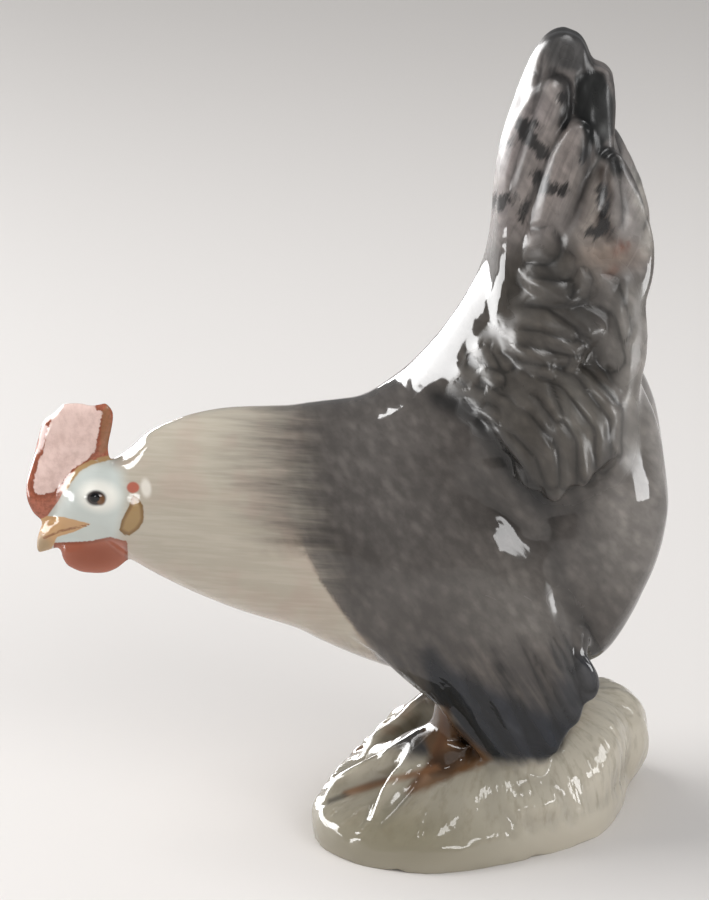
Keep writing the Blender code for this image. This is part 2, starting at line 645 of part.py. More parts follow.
def lay_clay():
    """All of the lumps of clay, overlapping, in one mesh."""
    clay = bmesh.new()
    lay_body(clay)
    lay_neck(clay)
    lay_head(clay)
    lay_tail_core(clay)
    lay_ground(clay)
    lay_leg(clay, -1.0, LEFT_TOES)
    lay_leg(clay, 1.0, RIGHT_TOES)
    for side in (-1.0, 1.0):
        lay_rump(clay, side)
        lay_wing(clay, side)
        for spine, half_width, thickness, outline in TAIL_FEATHERS + COVERTS:
            lay_feather(clay, spine, half_width, thickness, outline, side, FEATHER_BLUNT)
        for spine, half_width, thickness, outline in SADDLE_RUFFLES:
            lay_feather(clay, spine, half_width, thickness, outline, side, RUFFLE_BLUNT)
    mesh = bpy.data.meshes.new("hen")
    clay.to_mesh(mesh)
    clay.free()
    hen = bpy.data.objects.new("hen", mesh)
    bpy.context.scene.collection.objects.link(hen)
    return hen


def settle(item):
    """Turn an object's modifiers into its mesh."""
    bpy.context.view_layer.objects.active = item
    item.select_set(True)
    for modifier in list(item.modifiers):
        bpy.ops.object.modifier_apply(modifier=modifier.name)
    item.select_set(False)


def keep_outer_skin(item):
    """Fill the pockets that the lumps trapped: only the largest skin stays."""
    body = bmesh.new()
    body.from_mesh(item.data)
    body.verts.ensure_lookup_table()
    seen = set()
    islands = []
    for seed in body.verts:
        if seed.index in seen:
            continue
        island = []
        stack = [seed]
        seen.add(seed.index)
        while stack:
            vert = stack.pop()
            island.append(vert)
            for edge in vert.link_edges:
                other = edge.other_vert(vert)
                if other.index not in seen:
                    seen.add(other.index)
                    stack.append(other)
        islands.append(island)
    islands.sort(key=len, reverse=True)
    for island in islands[1:]:
        bmesh.ops.delete(body, geom=island, context="VERTS")
    body.to_mesh(item.data)
    body.free()


def soft_weight(point):
    """How much a point of the skin lies where one form runs smoothly into the next."""
    most = 0.0
    for x, z, reach_x, reach_z in SOFT_PLACES:
        away = math.hypot((point.x - x) / reach_x, (point.z - BODY_Z - z) / reach_z)
        most = max(most, min(1.0, (1.0 - away) * 3.0))
    return most


def fuse(hen):
    """Fuse the lumps into one skin, soften it, and thin it out."""
    remesh = hen.modifiers.new("fuse", "REMESH")
    remesh.mode = "VOXEL"
    remesh.voxel_size = VOXEL
    settle(hen)
    keep_outer_skin(hen)
    soften = hen.modifiers.new("soften", "SMOOTH")
    soften.factor = 0.5
    soften.iterations = GLAZE_PASSES
    settle(hen)
    group = hen.vertex_groups.new(name="soft")
    for vert in hen.data.vertices:
        weight = soft_weight(vert.co)
        if weight > 0.0:
            group.add([vert.index], weight, "REPLACE")
    mantle = hen.modifiers.new("mantle", "SMOOTH")
    mantle.factor = 0.5
    mantle.iterations = SOFT_PASSES
    mantle.vertex_group = group.name
    settle(hen)
    triangles = sum(len(face.vertices) - 2 for face in hen.data.polygons)
    thin = hen.modifiers.new("thin", "DECIMATE")
    thin.ratio = SKIN_TRIANGLES / triangles
    settle(hen)


def closed_object(name, shape):
    """An object from a bmesh, with every face turned outwards."""
    bmesh.ops.recalc_face_normals(shape, faces=shape.faces)
    mesh = bpy.data.meshes.new(name)
    shape.to_mesh(mesh)
    shape.free()
    item = bpy.data.objects.new(name, mesh)
    bpy.context.scene.collection.objects.link(item)
    return item


def prism(name, outline, bottom, top):
    """A straight block over an outline."""
    shape = bmesh.new()
    base = [shape.verts.new((x, y, bottom)) for x, y in outline]
    face = shape.faces.new(base)
    pushed = bmesh.ops.extrude_face_region(shape, geom=[face])
    moved = [part for part in pushed["geom"] if isinstance(part, bmesh.types.BMVert)]
    bmesh.ops.translate(shape, verts=moved, vec=(0.0, 0.0, top - bottom))
    return closed_object(name, shape)


def cut(hen, cutter):
    """Take the cutter's volume away from the casting."""
    cutter.hide_render = True
    cutter.display_type = "WIRE"
    away = hen.modifiers.new(cutter.name, "BOOLEAN")
    away.operation = "DIFFERENCE"
    away.solver = "EXACT"
    away.object = cutter


def finish_foot(hen):
    """Grind the underside flat, recess it inside the rim and bore the vent."""
    edge = smooth_loop(GROUND_EDGE, 3)
    reach = max(math.hypot(x, y) for x, y in edge)
    wide = [(x * 1.6, y * 1.6) for x, y in edge]
    inner = 0.97 - FOOT_RIM / reach
    inside = [(x * inner, y * inner) for x, y in edge]
    ring = []
    for step in range(24):
        angle = 2.0 * math.pi * step / 24
        ring.append((VENT_X + VENT_RADIUS * math.cos(angle), VENT_Y + VENT_RADIUS * math.sin(angle)))
    cutters = (
        prism("floor_cutter", wide, -FLOOR_CUT, 0.0),
        prism("recess_cutter", inside, -FLOOR_CUT / 2, FOOT_RECESS),
        prism("vent_cutter", ring, -FLOOR_CUT / 3, FOOT_RECESS + VENT_DEPTH),
    )
    for cutter in cutters:
        cut(hen, cutter)
    settle(hen)
    for cutter in cutters:
        bpy.data.objects.remove(cutter, do_unlink=True)
    hen.data.shade_smooth()
    hen.data.set_sharp_from_angle(angle=math.radians(50.0))


def porcelain():
    """Grey and cream underglaze colours under a clear glaze."""
    material = bpy.data.materials.new("glazed_porcelain")
    material.use_nodes = True
    shader = material.node_tree.nodes["Principled BSDF"]
    shader.inputs["Base Color"].default_value = (0.24, 0.22, 0.20, 1.0)
    shader.inputs["Roughness"].default_value = 0.08
    shader.inputs["Metallic"].default_value = 0.0
    return material


def build():
    """Lay up, fuse, finish and place the casting."""
    clear_scene()
    hen = lay_clay()
    fuse(hen)
    hen.data.materials.append(porcelain())
    finish_foot(hen)
    low_x = min(vert.co.x for vert in hen.data.vertices)
    high_x = max(vert.co.x for vert in hen.data.vertices)
    low_y = min(vert.co.y for vert in hen.data.vertices)
    high_y = max(vert.co.y for vert in hen.data.vertices)
    shift = Vector((-(low_x + high_x) / 2, -(low_y + high_y) / 2, 0.0))
    hen.location = shift


build()
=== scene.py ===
# %% [markdown]
# # A glazed porcelain hen
# The figurine is one slip-cast piece, painted under a clear glaze. Its form comes from the CAD
# model. This file gives that form a finer skin, carves the small feathers into it, paints it
# as the decorator does, in thin sprayed colours, and puts it on a pale floor in soft light.

import math

import bpy
import numpy as np
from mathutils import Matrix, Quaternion, Vector


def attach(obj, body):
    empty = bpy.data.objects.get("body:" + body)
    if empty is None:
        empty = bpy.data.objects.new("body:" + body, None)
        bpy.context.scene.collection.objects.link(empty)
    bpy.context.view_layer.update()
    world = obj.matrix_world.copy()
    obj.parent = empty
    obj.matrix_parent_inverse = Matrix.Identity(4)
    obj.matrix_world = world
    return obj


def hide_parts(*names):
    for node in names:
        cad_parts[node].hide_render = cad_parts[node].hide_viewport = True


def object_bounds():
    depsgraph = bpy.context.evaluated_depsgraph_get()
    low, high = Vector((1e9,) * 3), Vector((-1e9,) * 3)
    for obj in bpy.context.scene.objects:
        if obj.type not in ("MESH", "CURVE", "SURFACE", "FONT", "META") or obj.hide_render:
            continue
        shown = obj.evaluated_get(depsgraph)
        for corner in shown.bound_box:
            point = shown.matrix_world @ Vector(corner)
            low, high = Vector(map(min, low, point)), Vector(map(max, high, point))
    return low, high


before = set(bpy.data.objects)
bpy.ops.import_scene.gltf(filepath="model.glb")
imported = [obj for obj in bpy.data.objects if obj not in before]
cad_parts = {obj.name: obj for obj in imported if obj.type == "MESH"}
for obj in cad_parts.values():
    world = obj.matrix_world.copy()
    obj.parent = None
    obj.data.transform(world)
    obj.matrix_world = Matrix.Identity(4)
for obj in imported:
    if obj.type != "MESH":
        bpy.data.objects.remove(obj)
cad_box = [list(corner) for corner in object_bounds()]
print("CAD box, mm:", [[round(value * 1000, 1) for value in corner] for corner in cad_box])

# %% [markdown]
# ## Where things are
# The hen is looked at from its left side and a little above, with a long lens from about a
# metre. All marks on it are placed on one side chart, which is that same view: across grows
# towards the tail, down grows towards the floor, and a unit is about a quarter of a
# millimetre. The right side uses the same chart, mirrored, so that both sides are carved and
# painted alike.

# %% The side chart
UNIT = 0.000239
CHART_MIDDLE = (354.5, 450.0)
FRONT_TO_LEGS = 0.1092
BIRD_X = cad_box[0][0] + FRONT_TO_LEGS
MIDDLE_Y = -0.0003
AZIMUTH = math.radians(1.5)
ELEVATION = math.radians(20.0)
DISTANCE = 0.95
AIM_FORWARD = 0.03
AIM_HEIGHT = 0.0923

back = Vector((
    math.sin(AZIMUTH) * math.cos(ELEVATION),
    -math.cos(AZIMUTH) * math.cos(ELEVATION),
    math.sin(ELEVATION),
))
facing_view = back.to_track_quat("Z", "Y")
right = facing_view @ Vector((1.0, 0.0, 0.0))
upward = facing_view @ Vector((0.0, 1.0, 0.0))
aim = Vector((BIRD_X - AIM_FORWARD, MIDDLE_Y, AIM_HEIGHT))
print("middle of the chart, mm:", [round(value * 1000, 1) for value in aim])

# %% [markdown]
# ## The camera
# A long lens from about a metre keeps upright lines nearly parallel. Blender's camera is set by
# its angle of view. Here the angle comes from the chart's height, so that the chart and the
# rendered picture agree.

# %% Camera
CHART_HEIGHT = 900.0
camera_data = bpy.data.cameras.new("camera")
camera = bpy.data.objects.new("camera", camera_data)
bpy.context.scene.collection.objects.link(camera)
camera.location = aim + back * DISTANCE
camera.rotation_euler = facing_view.to_euler()
camera_data.sensor_fit = "VERTICAL"
camera_data.angle = 2.0 * math.atan(CHART_HEIGHT * UNIT / 2.0 / DISTANCE)
bpy.context.scene.camera = camera
print("lens angle, degrees:", round(math.degrees(camera_data.angle), 2))

# %% [markdown]
# ## A finer skin for the casting
# The CAD node is a light net of triangles. A copy of it is welded, turned to quads and
# subdivided twice, which rounds every facet off as slip and glaze do. The copy stands for the
# node from here on, and the node itself isn't touched.

# %% Copy and subdivide the casting
WELD_DISTANCE = 0.00002
QUAD_ANGLE = math.radians(60)
SUBDIVISIONS = 2
casting = bpy.data.objects.new("glazed_hen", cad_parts["hen"].data.copy())
bpy.context.scene.collection.objects.link(casting)
bpy.ops.object.select_all(action="DESELECT")
casting.select_set(True)
bpy.context.view_layer.objects.active = casting
bpy.ops.object.mode_set(mode="EDIT")
bpy.ops.mesh.select_all(action="SELECT")
bpy.ops.mesh.remove_doubles(threshold=WELD_DISTANCE)
bpy.ops.mesh.tris_convert_to_quads(face_threshold=QUAD_ANGLE, shape_threshold=QUAD_ANGLE)
bpy.ops.object.mode_set(mode="OBJECT")
rounding = casting.modifiers.new("rounding", "SUBSURF")
rounding.levels = SUBDIVISIONS
rounding.render_levels = SUBDIVISIONS
bpy.ops.object.modifier_apply(modifier=rounding.name)
bpy.ops.object.shade_smooth()
print("faces of the finer skin:", len(casting.data.polygons))
print("triangles:", sum(len(face.vertices) - 2 for face in casting.data.polygons))

# %% [markdown]
# ## Tools for carving and painting
# A soft blob, a stroke along a line and a patch inside an outline are enough to carve and to
# paint. Each gives one number for every point of the skin, from 0 where it doesn't reach to 1
# where it is full. First, every point of the skin is found on the side chart.

# %% Chart coordinates of every point
MM = 1000.0
count = len(casting.data.vertices)


def read_points():
    """The places of the skin's points and which way they face."""
    places = np.empty(count * 3)
    casting.data.vertices.foreach_get("co", places)
    facing = np.empty(count * 3)
    casting.data.vertex_normals.foreach_get("vector", facing)
    return places.reshape(-1, 3), facing.reshape(-1, 3)


def read_chart(places):
    """The chart coordinates of each place. The right side is mirrored to the left."""
    near = np.array(places, float)
    near[:, 1] = MIDDLE_Y - np.abs(near[:, 1] - MIDDLE_Y)
    offset = near - np.array(aim)
    depth = DISTANCE - offset @ np.array(back)
    across = CHART_MIDDLE[0] + offset @ np.array(right) / depth * DISTANCE / UNIT
    down = CHART_MIDDLE[1] - offset @ np.array(upward) / depth * DISTANCE / UNIT
    return across, down


points, normals = read_points()
across, down = read_chart(points)
aside = np.abs(points[:, 1] - MIDDLE_Y) * MM
height = points[:, 2] * MM
side_sign = np.sign(points[:, 1] - MIDDLE_Y)
print("points on the skin:", count)

# %% [markdown]
# ### A soft blob
# A dab with the sponge or a puff of the spray gun is full in its middle and thins out to its
# rim. An oval whose edge is a smooth step does the same, for clay as well as for paint.

# %% Soft step and blob
def fade(value, start, end):
    """A soft step from 0 at start to 1 at end."""
    share = np.clip((value - start) / (end - start), 0.0, 1.0)
    return share * share * (3.0 - 2.0 * share)


def blob(x, y, long, wide, turn=0.0, soft=0.6):
    """An oval mark. turn is in degrees, clockwise on the chart."""
    angle = math.radians(turn)
    off_x = across - x
    off_y = down - y
    along = (off_x * math.cos(angle) + off_y * math.sin(angle)) / long
    beside = (off_y * math.cos(angle) - off_x * math.sin(angle)) / wide
    return 1.0 - fade(np.hypot(along, beside), 1.0 - soft, 1.0 + soft * 0.5)


print("points under a blob at mid wing:", int((blob(500, 500, 60, 60) > 0.5).sum()))

# %% [markdown]
# ### Strokes and patches
# A brush or a loop tool follows a line, and a stencil leaves a patch with an outline. Both marks
# come from how far a point lies from a line. For a patch, a point is inside where a level line
# from it crosses the outline an odd number of times.

# %% Stroke and patch
def line_offset(line):
    """How far each point lies from a line: its distance, and its signed distance."""
    best = np.full(count, 1e9)
    signed = np.zeros(count)
    for (x0, y0), (x1, y1) in zip(line, line[1:]):
        run_x, run_y = x1 - x0, y1 - y0
        length = math.hypot(run_x, run_y)
        share = np.clip(((across - x0) * run_x + (down - y0) * run_y) / length ** 2, 0.0, 1.0)
        away_x = across - (x0 + run_x * share)
        away_y = down - (y0 + run_y * share)
        distance = np.hypot(away_x, away_y)
        side = np.sign(run_x * away_y - run_y * away_x)
        nearer = distance < best
        best = np.where(nearer, distance, best)
        signed = np.where(nearer, distance * side, signed)
    return best, signed


def stroke(line, width, soft=0.6):
    """A mark along a line."""
    distance, signed = line_offset(line)
    return 1.0 - fade(distance / width, 1.0 - soft, 1.0 + soft * 0.5)


def outline_offset(outline):
    """How far each point lies inside an outline. It is negative outside."""
    inside = np.zeros(count, bool)
    closed = list(outline) + [outline[0]]
    for (x0, y0), (x1, y1) in zip(closed, closed[1:]):
        if y0 == y1:
            continue
        crosses = (y0 > down) != (y1 > down)
        at_x = x0 + (down - y0) * (x1 - x0) / (y1 - y0)
        inside ^= crosses & (across < at_x)
    distance, signed = line_offset(closed)
    return np.where(inside, distance, -distance)


def patch(outline, soft):
    """A mark inside an outline, with an edge of the given softness."""
    return fade(outline_offset(outline), -soft / 2, soft / 2)


TRIAL_PATCH = [(440, 440), (560, 440), (560, 560), (440, 560)]
print("points in a trial patch:", int((patch(TRIAL_PATCH, 10) > 0.5).sum()))

# %% [markdown]
# ## Carving the feathers
# The large feathers are in the casting. On the plaster model the modeller went over them with a
# loop tool, so that each one is a rounded tongue that lies over its neighbours, with a sharp
# seam at its edge. A feather here is a tongue too: a line from root to tip with half widths. It
# swells the skin a little, hides what lies under it, and leaves its seam.

# %% Where feathers are carved
on_bird = fade(height - 0.25 * np.clip(across - 560, 0, 90), 20.0, 24.0)
to_side = np.abs(normals[:, 1]) * np.sign(normals[:, 1] * side_sign)
faces_side = fade(to_side * 0.94 + normals[:, 2] * 0.34, 0.05, 0.40)
relief = np.zeros(count)
seam = np.full(count, 40.0)
round_top = np.full(count, 0.5)
print("points that face a side:", int((faces_side > 0.5).sum()))

# %% [markdown]
# ### One feather
# The modeller's tool leaves a feather that is rounded across, free at its tip and grown together
# with the skin at its root. The function does it in numbers: it swells the skin inside the
# tongue, takes away what was carved there before, and keeps each point's distance to the edge.
# Numbers are used instead of separate objects, because the casting is one piece of clay.

# %% Lay one feather
ROOT_SHARE = 0.38
ROOT_FAR = 14.0
EDGE_SOFTNESS = 1.5
SWELL_MM = 0.6


def lay_feather(line, widths, dome):
    """Lay one feather over what is there. Its root has no seam."""
    global relief, seam, round_top
    inside = np.full(count, -1e9)
    along = np.zeros(count)
    lengths = [math.dist(a, b) for a, b in zip(line, line[1:])]
    start = 0.0
    for (x0, y0), (x1, y1), w0, w1, length in zip(line, line[1:], widths, widths[1:], lengths):
        run_x, run_y = x1 - x0, y1 - y0
        share = np.clip(((across - x0) * run_x + (down - y0) * run_y) / length ** 2, 0.0, 1.0)
        distance = np.hypot(across - x0 - run_x * share, down - y0 - run_y * share)
        value = w0 + (w1 - w0) * share - distance
        better = value > inside
        inside = np.where(better, value, inside)
        along = np.where(better, (start + share * length) / sum(lengths), along)
        start += length
    shown = fade(along, 0.0, ROOT_SHARE)
    cover = fade(inside, -EDGE_SOFTNESS, EDGE_SOFTNESS) * shown
    share = np.clip(inside / max(widths), 0.0, 1.0)
    swell = 1.0 - (1.0 - share) ** 2
    relief = relief * (1.0 - cover) + dome * SWELL_MM * swell * cover
    round_top = round_top * (1.0 - cover) + swell * cover
    edge = np.abs(inside) + (1.0 - shown) * ROOT_FAR
    seam = np.where(inside > 0.0, seam * (1.0 - shown) + edge * shown, np.minimum(seam, edge))


def lay_rows(rows, share):
    """Lay feathers in order. Each row holds a line, its half widths and its height."""
    for line, widths, dome in rows:
        lay_feather(line, widths, dome * share)
    print("feathers:", len(rows), "points by a seam:", int((seam < 4.0).sum()))


print("a feather swells at most, mm:", SWELL_MM)

# %% [markdown]
# ### Tail feathers
# The tail is a fan of broad, upright feathers, and those in the middle of the fan lie over the
# outer ones. So the outer ones are laid first, because a later feather covers an earlier one.

# %% Tail
FULL = 0.7
FLAT = 0.4
TAIL_ROWS = [
    ([(507, 241), (504, 191), (511, 138), (529, 81)], [22, 20, 16, 10], 0.5),
    ([(557, 138), (561, 91), (567, 52)], [20, 23, 24], 0.5),
    ([(604, 138), (611, 106), (600, 66)], [10, 13, 8], 0.3),
    ([(579, 174), (595, 141), (595, 91)], [14, 20, 19], 0.8),
    ([(518, 234), (532, 181), (548, 127), (557, 88)], [18, 20, 19, 14], 0.7),
    ([(543, 249), (557, 206), (568, 163), (577, 131)], [18, 22, 21, 14], 0.7),
    ([(614, 249), (629, 206), (620, 174)], [20, 22, 9], 0.4),
    ([(589, 249), (600, 213), (605, 177), (607, 161)], [26, 24, 15, 9], 0.8),
]
lay_rows(TAIL_ROWS, FULL)

# %% [markdown]
# ### Upper ruffles
# At the root of the tail, short lobes curl over each other. The modeller cut them deep, so that
# glaze gathers between them. They are short, wide tongues, laid from the rump up to the back.

# %% Upper ruffles
SIDE_ROWS = [
    ([(571, 270), (600, 291), (614, 327)], [14, 20, 18], 0.5),
    ([(568, 306), (600, 327), (611, 359)], [14, 18, 14], 0.5),
]
lay_rows(SIDE_ROWS, FULL)
TOP_BUNCH_ROWS = [
    ([(518, 259), (571, 284)], [16, 22], 0.7),
    ([(514, 284), (554, 288)], [18, 20], 0.9),
    ([(518, 259), (561, 266)], [16, 16], 0.8),
    ([(514, 249), (543, 246)], [15, 19], 0.9),
]
lay_rows(TOP_BUNCH_ROWS, FULL)

# %% [markdown]
# ### Scales and lower ruffles
# In front of the ruffles lie small flat scales, and below them long lobes hang towards the wing.
# Both are low, so they get a smaller share of the height. The lobes between them and the upper
# ruffles are laid last, and stand higher.

# %% Scales and lower ruffles
SCALE_ROWS = [
    ([(461, 341), (477, 352)], [9, 9], 0.5),
    ([(477, 349), (494, 359)], [9, 10], 0.6),
    ([(457, 366), (473, 377)], [9, 10], 0.5),
    ([(477, 370), (496, 381)], [9, 10], 0.6),
    ([(464, 388), (480, 399)], [8, 10], 0.5),
    ([(482, 395), (504, 408)], [9, 11], 0.6),
    ([(473, 409), (493, 416)], [8, 9], 0.5),
    ([(496, 341), (507, 363)], [8, 9], 0.5),
]
lay_rows(SCALE_ROWS, FLAT)
LOW_BUNCH_ROWS = [
    ([(536, 363), (579, 381), (611, 413), (614, 449)], [13, 14, 12, 7], 0.8),
    ([(525, 366), (568, 388), (598, 424), (602, 463)], [13, 14, 12, 7], 0.9),
    ([(514, 377), (554, 399), (582, 434), (586, 474)], [13, 14, 13, 8], 0.9),
    ([(504, 388), (539, 409), (564, 445), (568, 481)], [12, 13, 13, 9], 0.9),
    ([(493, 406), (521, 424), (546, 452), (552, 481)], [12, 13, 12, 8], 0.8),
    ([(518, 381), (543, 388), (557, 416)], [10, 10, 6], 0.8),
]
lay_rows(LOW_BUNCH_ROWS, FLAT)
MID_BUNCH_ROWS = [
    ([(489, 334), (525, 349), (561, 359)], [14, 14, 9], 0.8),
    ([(496, 324), (539, 334), (579, 349)], [14, 16, 8], 0.9),
    ([(500, 316), (543, 320), (571, 334)], [12, 12, 8], 0.7),
]
lay_rows(MID_BUNCH_ROWS, FULL)

# %% [markdown]
# ### Flight feathers
# The folded wing ends in long feathers, one beside the other like the slats of a blind. Their
# roots melt into the wing, so only the ends show an edge.

# %% Flight feathers
FLIGHT_ROWS = [
    ([(560, 600), (585, 650), (590, 682)], [12, 13, 10], 0.5),
    ([(520, 610), (552, 660), (576, 712)], [13, 13, 10], 0.5),
    ([(486, 610), (520, 672), (552, 742)], [13, 14, 11], 0.5),
    ([(458, 620), (490, 680), (530, 764)], [13, 13, 9], 0.5),
    ([(436, 640), (462, 694), (502, 756)], [11, 11, 8], 0.5),
]
lay_rows(FLIGHT_ROWS, FULL)

# %% [markdown]
# ## The smooth saddle
# Between the back and the ruffles runs a band that was sponged smooth before the casting was
# fired, so the glaze mirrors a window in it. Inside this patch the carving is taken away again.
# A soft swell rounds the rump.

# %% Saddle and rump
RUMP_SWELL = 1.2
SADDLE_BAND = [
    (506, 196), (522, 214), (526, 236), (516, 268), (502, 294), (490, 320), (474, 344),
    (458, 360), (446, 380), (430, 394), (398, 386), (412, 352), (430, 326), (452, 296),
    (470, 268), (486, 236), (494, 200),
]
saddle = patch(SADDLE_BAND, 12)
seam = seam + saddle * 30.0
relief = relief * (1.0 - saddle)
relief += RUMP_SWELL * blob(622, 490, 36, 42, 0, 1.0)
print("points of the smooth band:", int((saddle > 0.5).sum()))

# %% [markdown]
# ## The wing's edge
# Where the wing meets the ruffles, a groove runs down, and behind it the wing rises in a soft
# crest that catches the light. Two strokes do it, one pressed in and one raised.

# %% Groove and crest
GROOVE_DEPTH = 0.7
CREST_HEIGHT = 1.3
GROOVE = [(446, 396), (477, 416), (506, 457), (540, 492)]
CREST = [(496, 472), (514, 496), (532, 520)]
relief -= GROOVE_DEPTH * stroke(GROOVE, 6.0, 0.9) * faces_side
relief += CREST_HEIGHT * stroke(CREST, 15.0, 0.9) * faces_side
print("highest and deepest, mm:", round(float(relief.max()), 2), round(float(relief.min()), 2))

# %% [markdown]
# ## Grass on the mound
# The mound's slope is drawn with blades of grass that run down to the rim. Two waves around the
# mound, of different lengths and bent a little, overlap into ridges that never repeat exactly,
# as ridges cut by hand don't.

# %% Blades of grass
BLADE_HEIGHT = 0.16
MOUND_OFFSET = 0.006
angle = np.arctan2(points[:, 1], points[:, 0] - BIRD_X - MOUND_OFFSET)
blades = np.sin(angle * 26.0 + 3.0 * np.sin(angle * 5.0) + height * 0.35)
blades += 0.7 * np.sin(angle * 43.0 - 2.0 * np.sin(angle * 7.0) + height * 0.2)
slope = fade(height, 3.5, 7.5) * (1.0 - on_bird)
relief = relief * on_bird + BLADE_HEIGHT * blades * slope
print("points on the slope:", int((slope > 0.5).sum()))

# %% [markdown]
# ## A damp sponge
# A sponge evens out the clay: every point moves towards the middle of its neighbours. For that,
# the neighbours come from the edges of the mesh.

# %% Neighbours of each point
ends = np.empty(len(casting.data.edges) * 2, np.int64)
casting.data.edges.foreach_get("vertices", ends)
ends = ends.reshape(-1, 2)
share_count = np.bincount(ends.ravel(), minlength=count)


def neighbour_mean(values):
    """The mean of each point's neighbours."""
    if values.ndim == 2:
        return np.stack([neighbour_mean(column) for column in values.T], axis=1)
    total = (np.bincount(ends[:, 0], values[ends[:, 1]], count)
             + np.bincount(ends[:, 1], values[ends[:, 0]], count))
    return total / share_count


print("edges of the mesh:", len(ends))

# %% [markdown]
# ### Sponge, then press
# The band of the saddle, a strip beside it and two places of the rump are sponged, because the
# casting's small facets would break up the highlight there. Then the whole relief is pressed
# into the skin, along the way each point faces. On the bird only the sides take it.

# %% Sponge the smooth places and press the relief
SPONGE_PASSES = 110
BESIDE_BAND = [
    (500, 296), (514, 318), (508, 372), (488, 410), (462, 418), (438, 396), (462, 356), (484, 330),
]
beside_band = patch(BESIDE_BAND, 14)
calm = np.maximum(saddle * 0.7, beside_band * 0.25)
calm = np.maximum(calm, 0.5 * blob(602, 352, 20, 20, 0, 0.8))
calm = np.maximum(calm, 0.6 * blob(626, 462, 30, 30, 0, 0.8))
relief = relief * (1.0 - 0.7 * beside_band)
for step in range(SPONGE_PASSES):
    points = points + (neighbour_mean(points) - points) * calm[:, None]
lift = relief * faces_side / MM * on_bird + relief * (1.0 - on_bird) / MM
moved = points + normals * lift[:, None]
casting.data.vertices.foreach_set("co", moved.ravel())
casting.data.update()
points, normals = read_points()
print("highest and deepest, mm:", round(float(relief.max()), 2), round(float(relief.min()), 2))

# %% [markdown]
# ## Where glaze pools and shade falls
# Glaze runs thin over a crest and pools in a groove, and later the paint gets painted light on
# crests and painted shade in grooves, so a crest looks paler and a groove darker.
# How hollow the skin is at a point is read from its neighbours: in a hollow they lie in front.

# %% Hollows and crests
HOLLOW_PASSES = 14
BLUR_PASSES = 2
smoothed = points
for step in range(HOLLOW_PASSES):
    smoothed = neighbour_mean(smoothed)
hollow = ((smoothed - points) * normals).sum(axis=1) * MM
for step in range(BLUR_PASSES):
    hollow = neighbour_mean(hollow)
print("hollowness, mm:", np.round(np.percentile(hollow, [1, 10, 50, 90, 99]), 3))

# %% [markdown]
# ## Zones of colour
# The decorator sprays thin colours over the white body of the porcelain, with soft borders, and
# lets one run into the next. The colours here are laid one over the other in the same way, on
# a colour attribute of the skin.

# %% The spray gun
paint = np.zeros((count, 3))


def linear(red, green, blue):
    """A colour as seen on screen, from 0 to 255, as the light that it reflects."""
    return np.array([((c / 255.0 + 0.055) / 1.055) ** 2.4 if c > 10 else c / 3294.6
                     for c in (red, green, blue)])


def spray(colour, mark, strength=1.0):
    """Lay a thin colour over what is there."""
    amount = np.clip(mark * strength, 0.0, 1.0)[:, None]
    paint[:] = paint * (1.0 - amount) + linear(*colour) * amount


print("a middle grey reflects:", round(float(linear(128, 128, 128)[0]), 3))

# %% [markdown]
# ## The bird's grey
# The back, wings and rump are one warm grey, paler on the rump, on the smooth feathers under the
# tail, and on the lower half of the wing. Painted shade darkens it where the saddle meets the
# tail, in the groove under the ruffles and along the wing's rear edge. A pale stroke down the
# rump's rear edge is a painted reflection.

# %% Grey of body, wing, rump and ruffles
FEATHER_GREY = (84, 79, 75)
PALE_GREY = (122, 117, 112)
RUFFLE_BROWN = (74, 69, 63)
WING_EDGE_SHADE = (50, 48, 46)
spray(FEATHER_GREY, np.ones(count))
spray((104, 99, 94), blob(515, 610, 70, 60, 30, 0.9), 0.9)
spray((99, 94, 90), blob(385, 440, 60, 36, 0, 0.9), 0.7)
spray((100, 95, 91), blob(385, 510, 80, 90, 0, 0.9), 0.75)
spray((70, 66, 62), blob(500, 500, 34, 50, -20, 0.9), 0.6)
spray((76, 71, 67), blob(345, 560, 30, 60, -25, 0.9), 0.6)
spray(PALE_GREY, blob(632, 520, 46, 80, 8, 0.9), 0.95)
spray((132, 127, 121), stroke([(636, 300), (628, 380), (632, 440)], 26, 0.9), 0.9)
# A painted reflection: a pale stroke down the rump's rear edge.
spray((152, 147, 142), stroke([(648, 330), (656, 420), (664, 480)], 12, 0.9), 0.7)
RUFFLES = [
    (515, 245), (560, 228), (590, 290), (600, 350), (616, 410), (612, 462), (560, 500),
    (520, 480), (490, 420), (440, 396), (448, 366), (480, 320),
]
spray(RUFFLE_BROWN, patch(RUFFLES, 26), 0.9)
spray((98, 93, 86), blob(582, 415, 26, 44, -18, 0.8), 0.7)
spray((92, 87, 82), blob(560, 348, 34, 20, 0, 0.8), 0.6)
# Painted shade in the groove along the front of the ruffles.
spray((38, 37, 36), stroke([(440, 398), (474, 414), (506, 458), (540, 500)], 14, 0.9), 0.9)
# Painted shade along the wing's rear edge, where it lies over the rump.
spray(WING_EDGE_SHADE, stroke([(545, 500), (556, 560), (578, 620), (590, 650)], 9, 0.9), 0.5)
# Painted shade in the hollow beside the upper ruffles, where the saddle meets the tail.
spray((58, 56, 54), stroke([(545, 262), (566, 296), (590, 330)], 15, 0.9), 0.5)
print("mean of the greys:", np.round(paint.mean(axis=0), 3))

# %% [markdown]
# ## Wing tips
# The tips of the flight feathers go from grey to a bluish black, with a darker wedge along the
# front edge. The decorator sprays them from the side, so nothing gets under the belly: the masks
# leave out what lies near the middle. The fine streaks are left to the material.

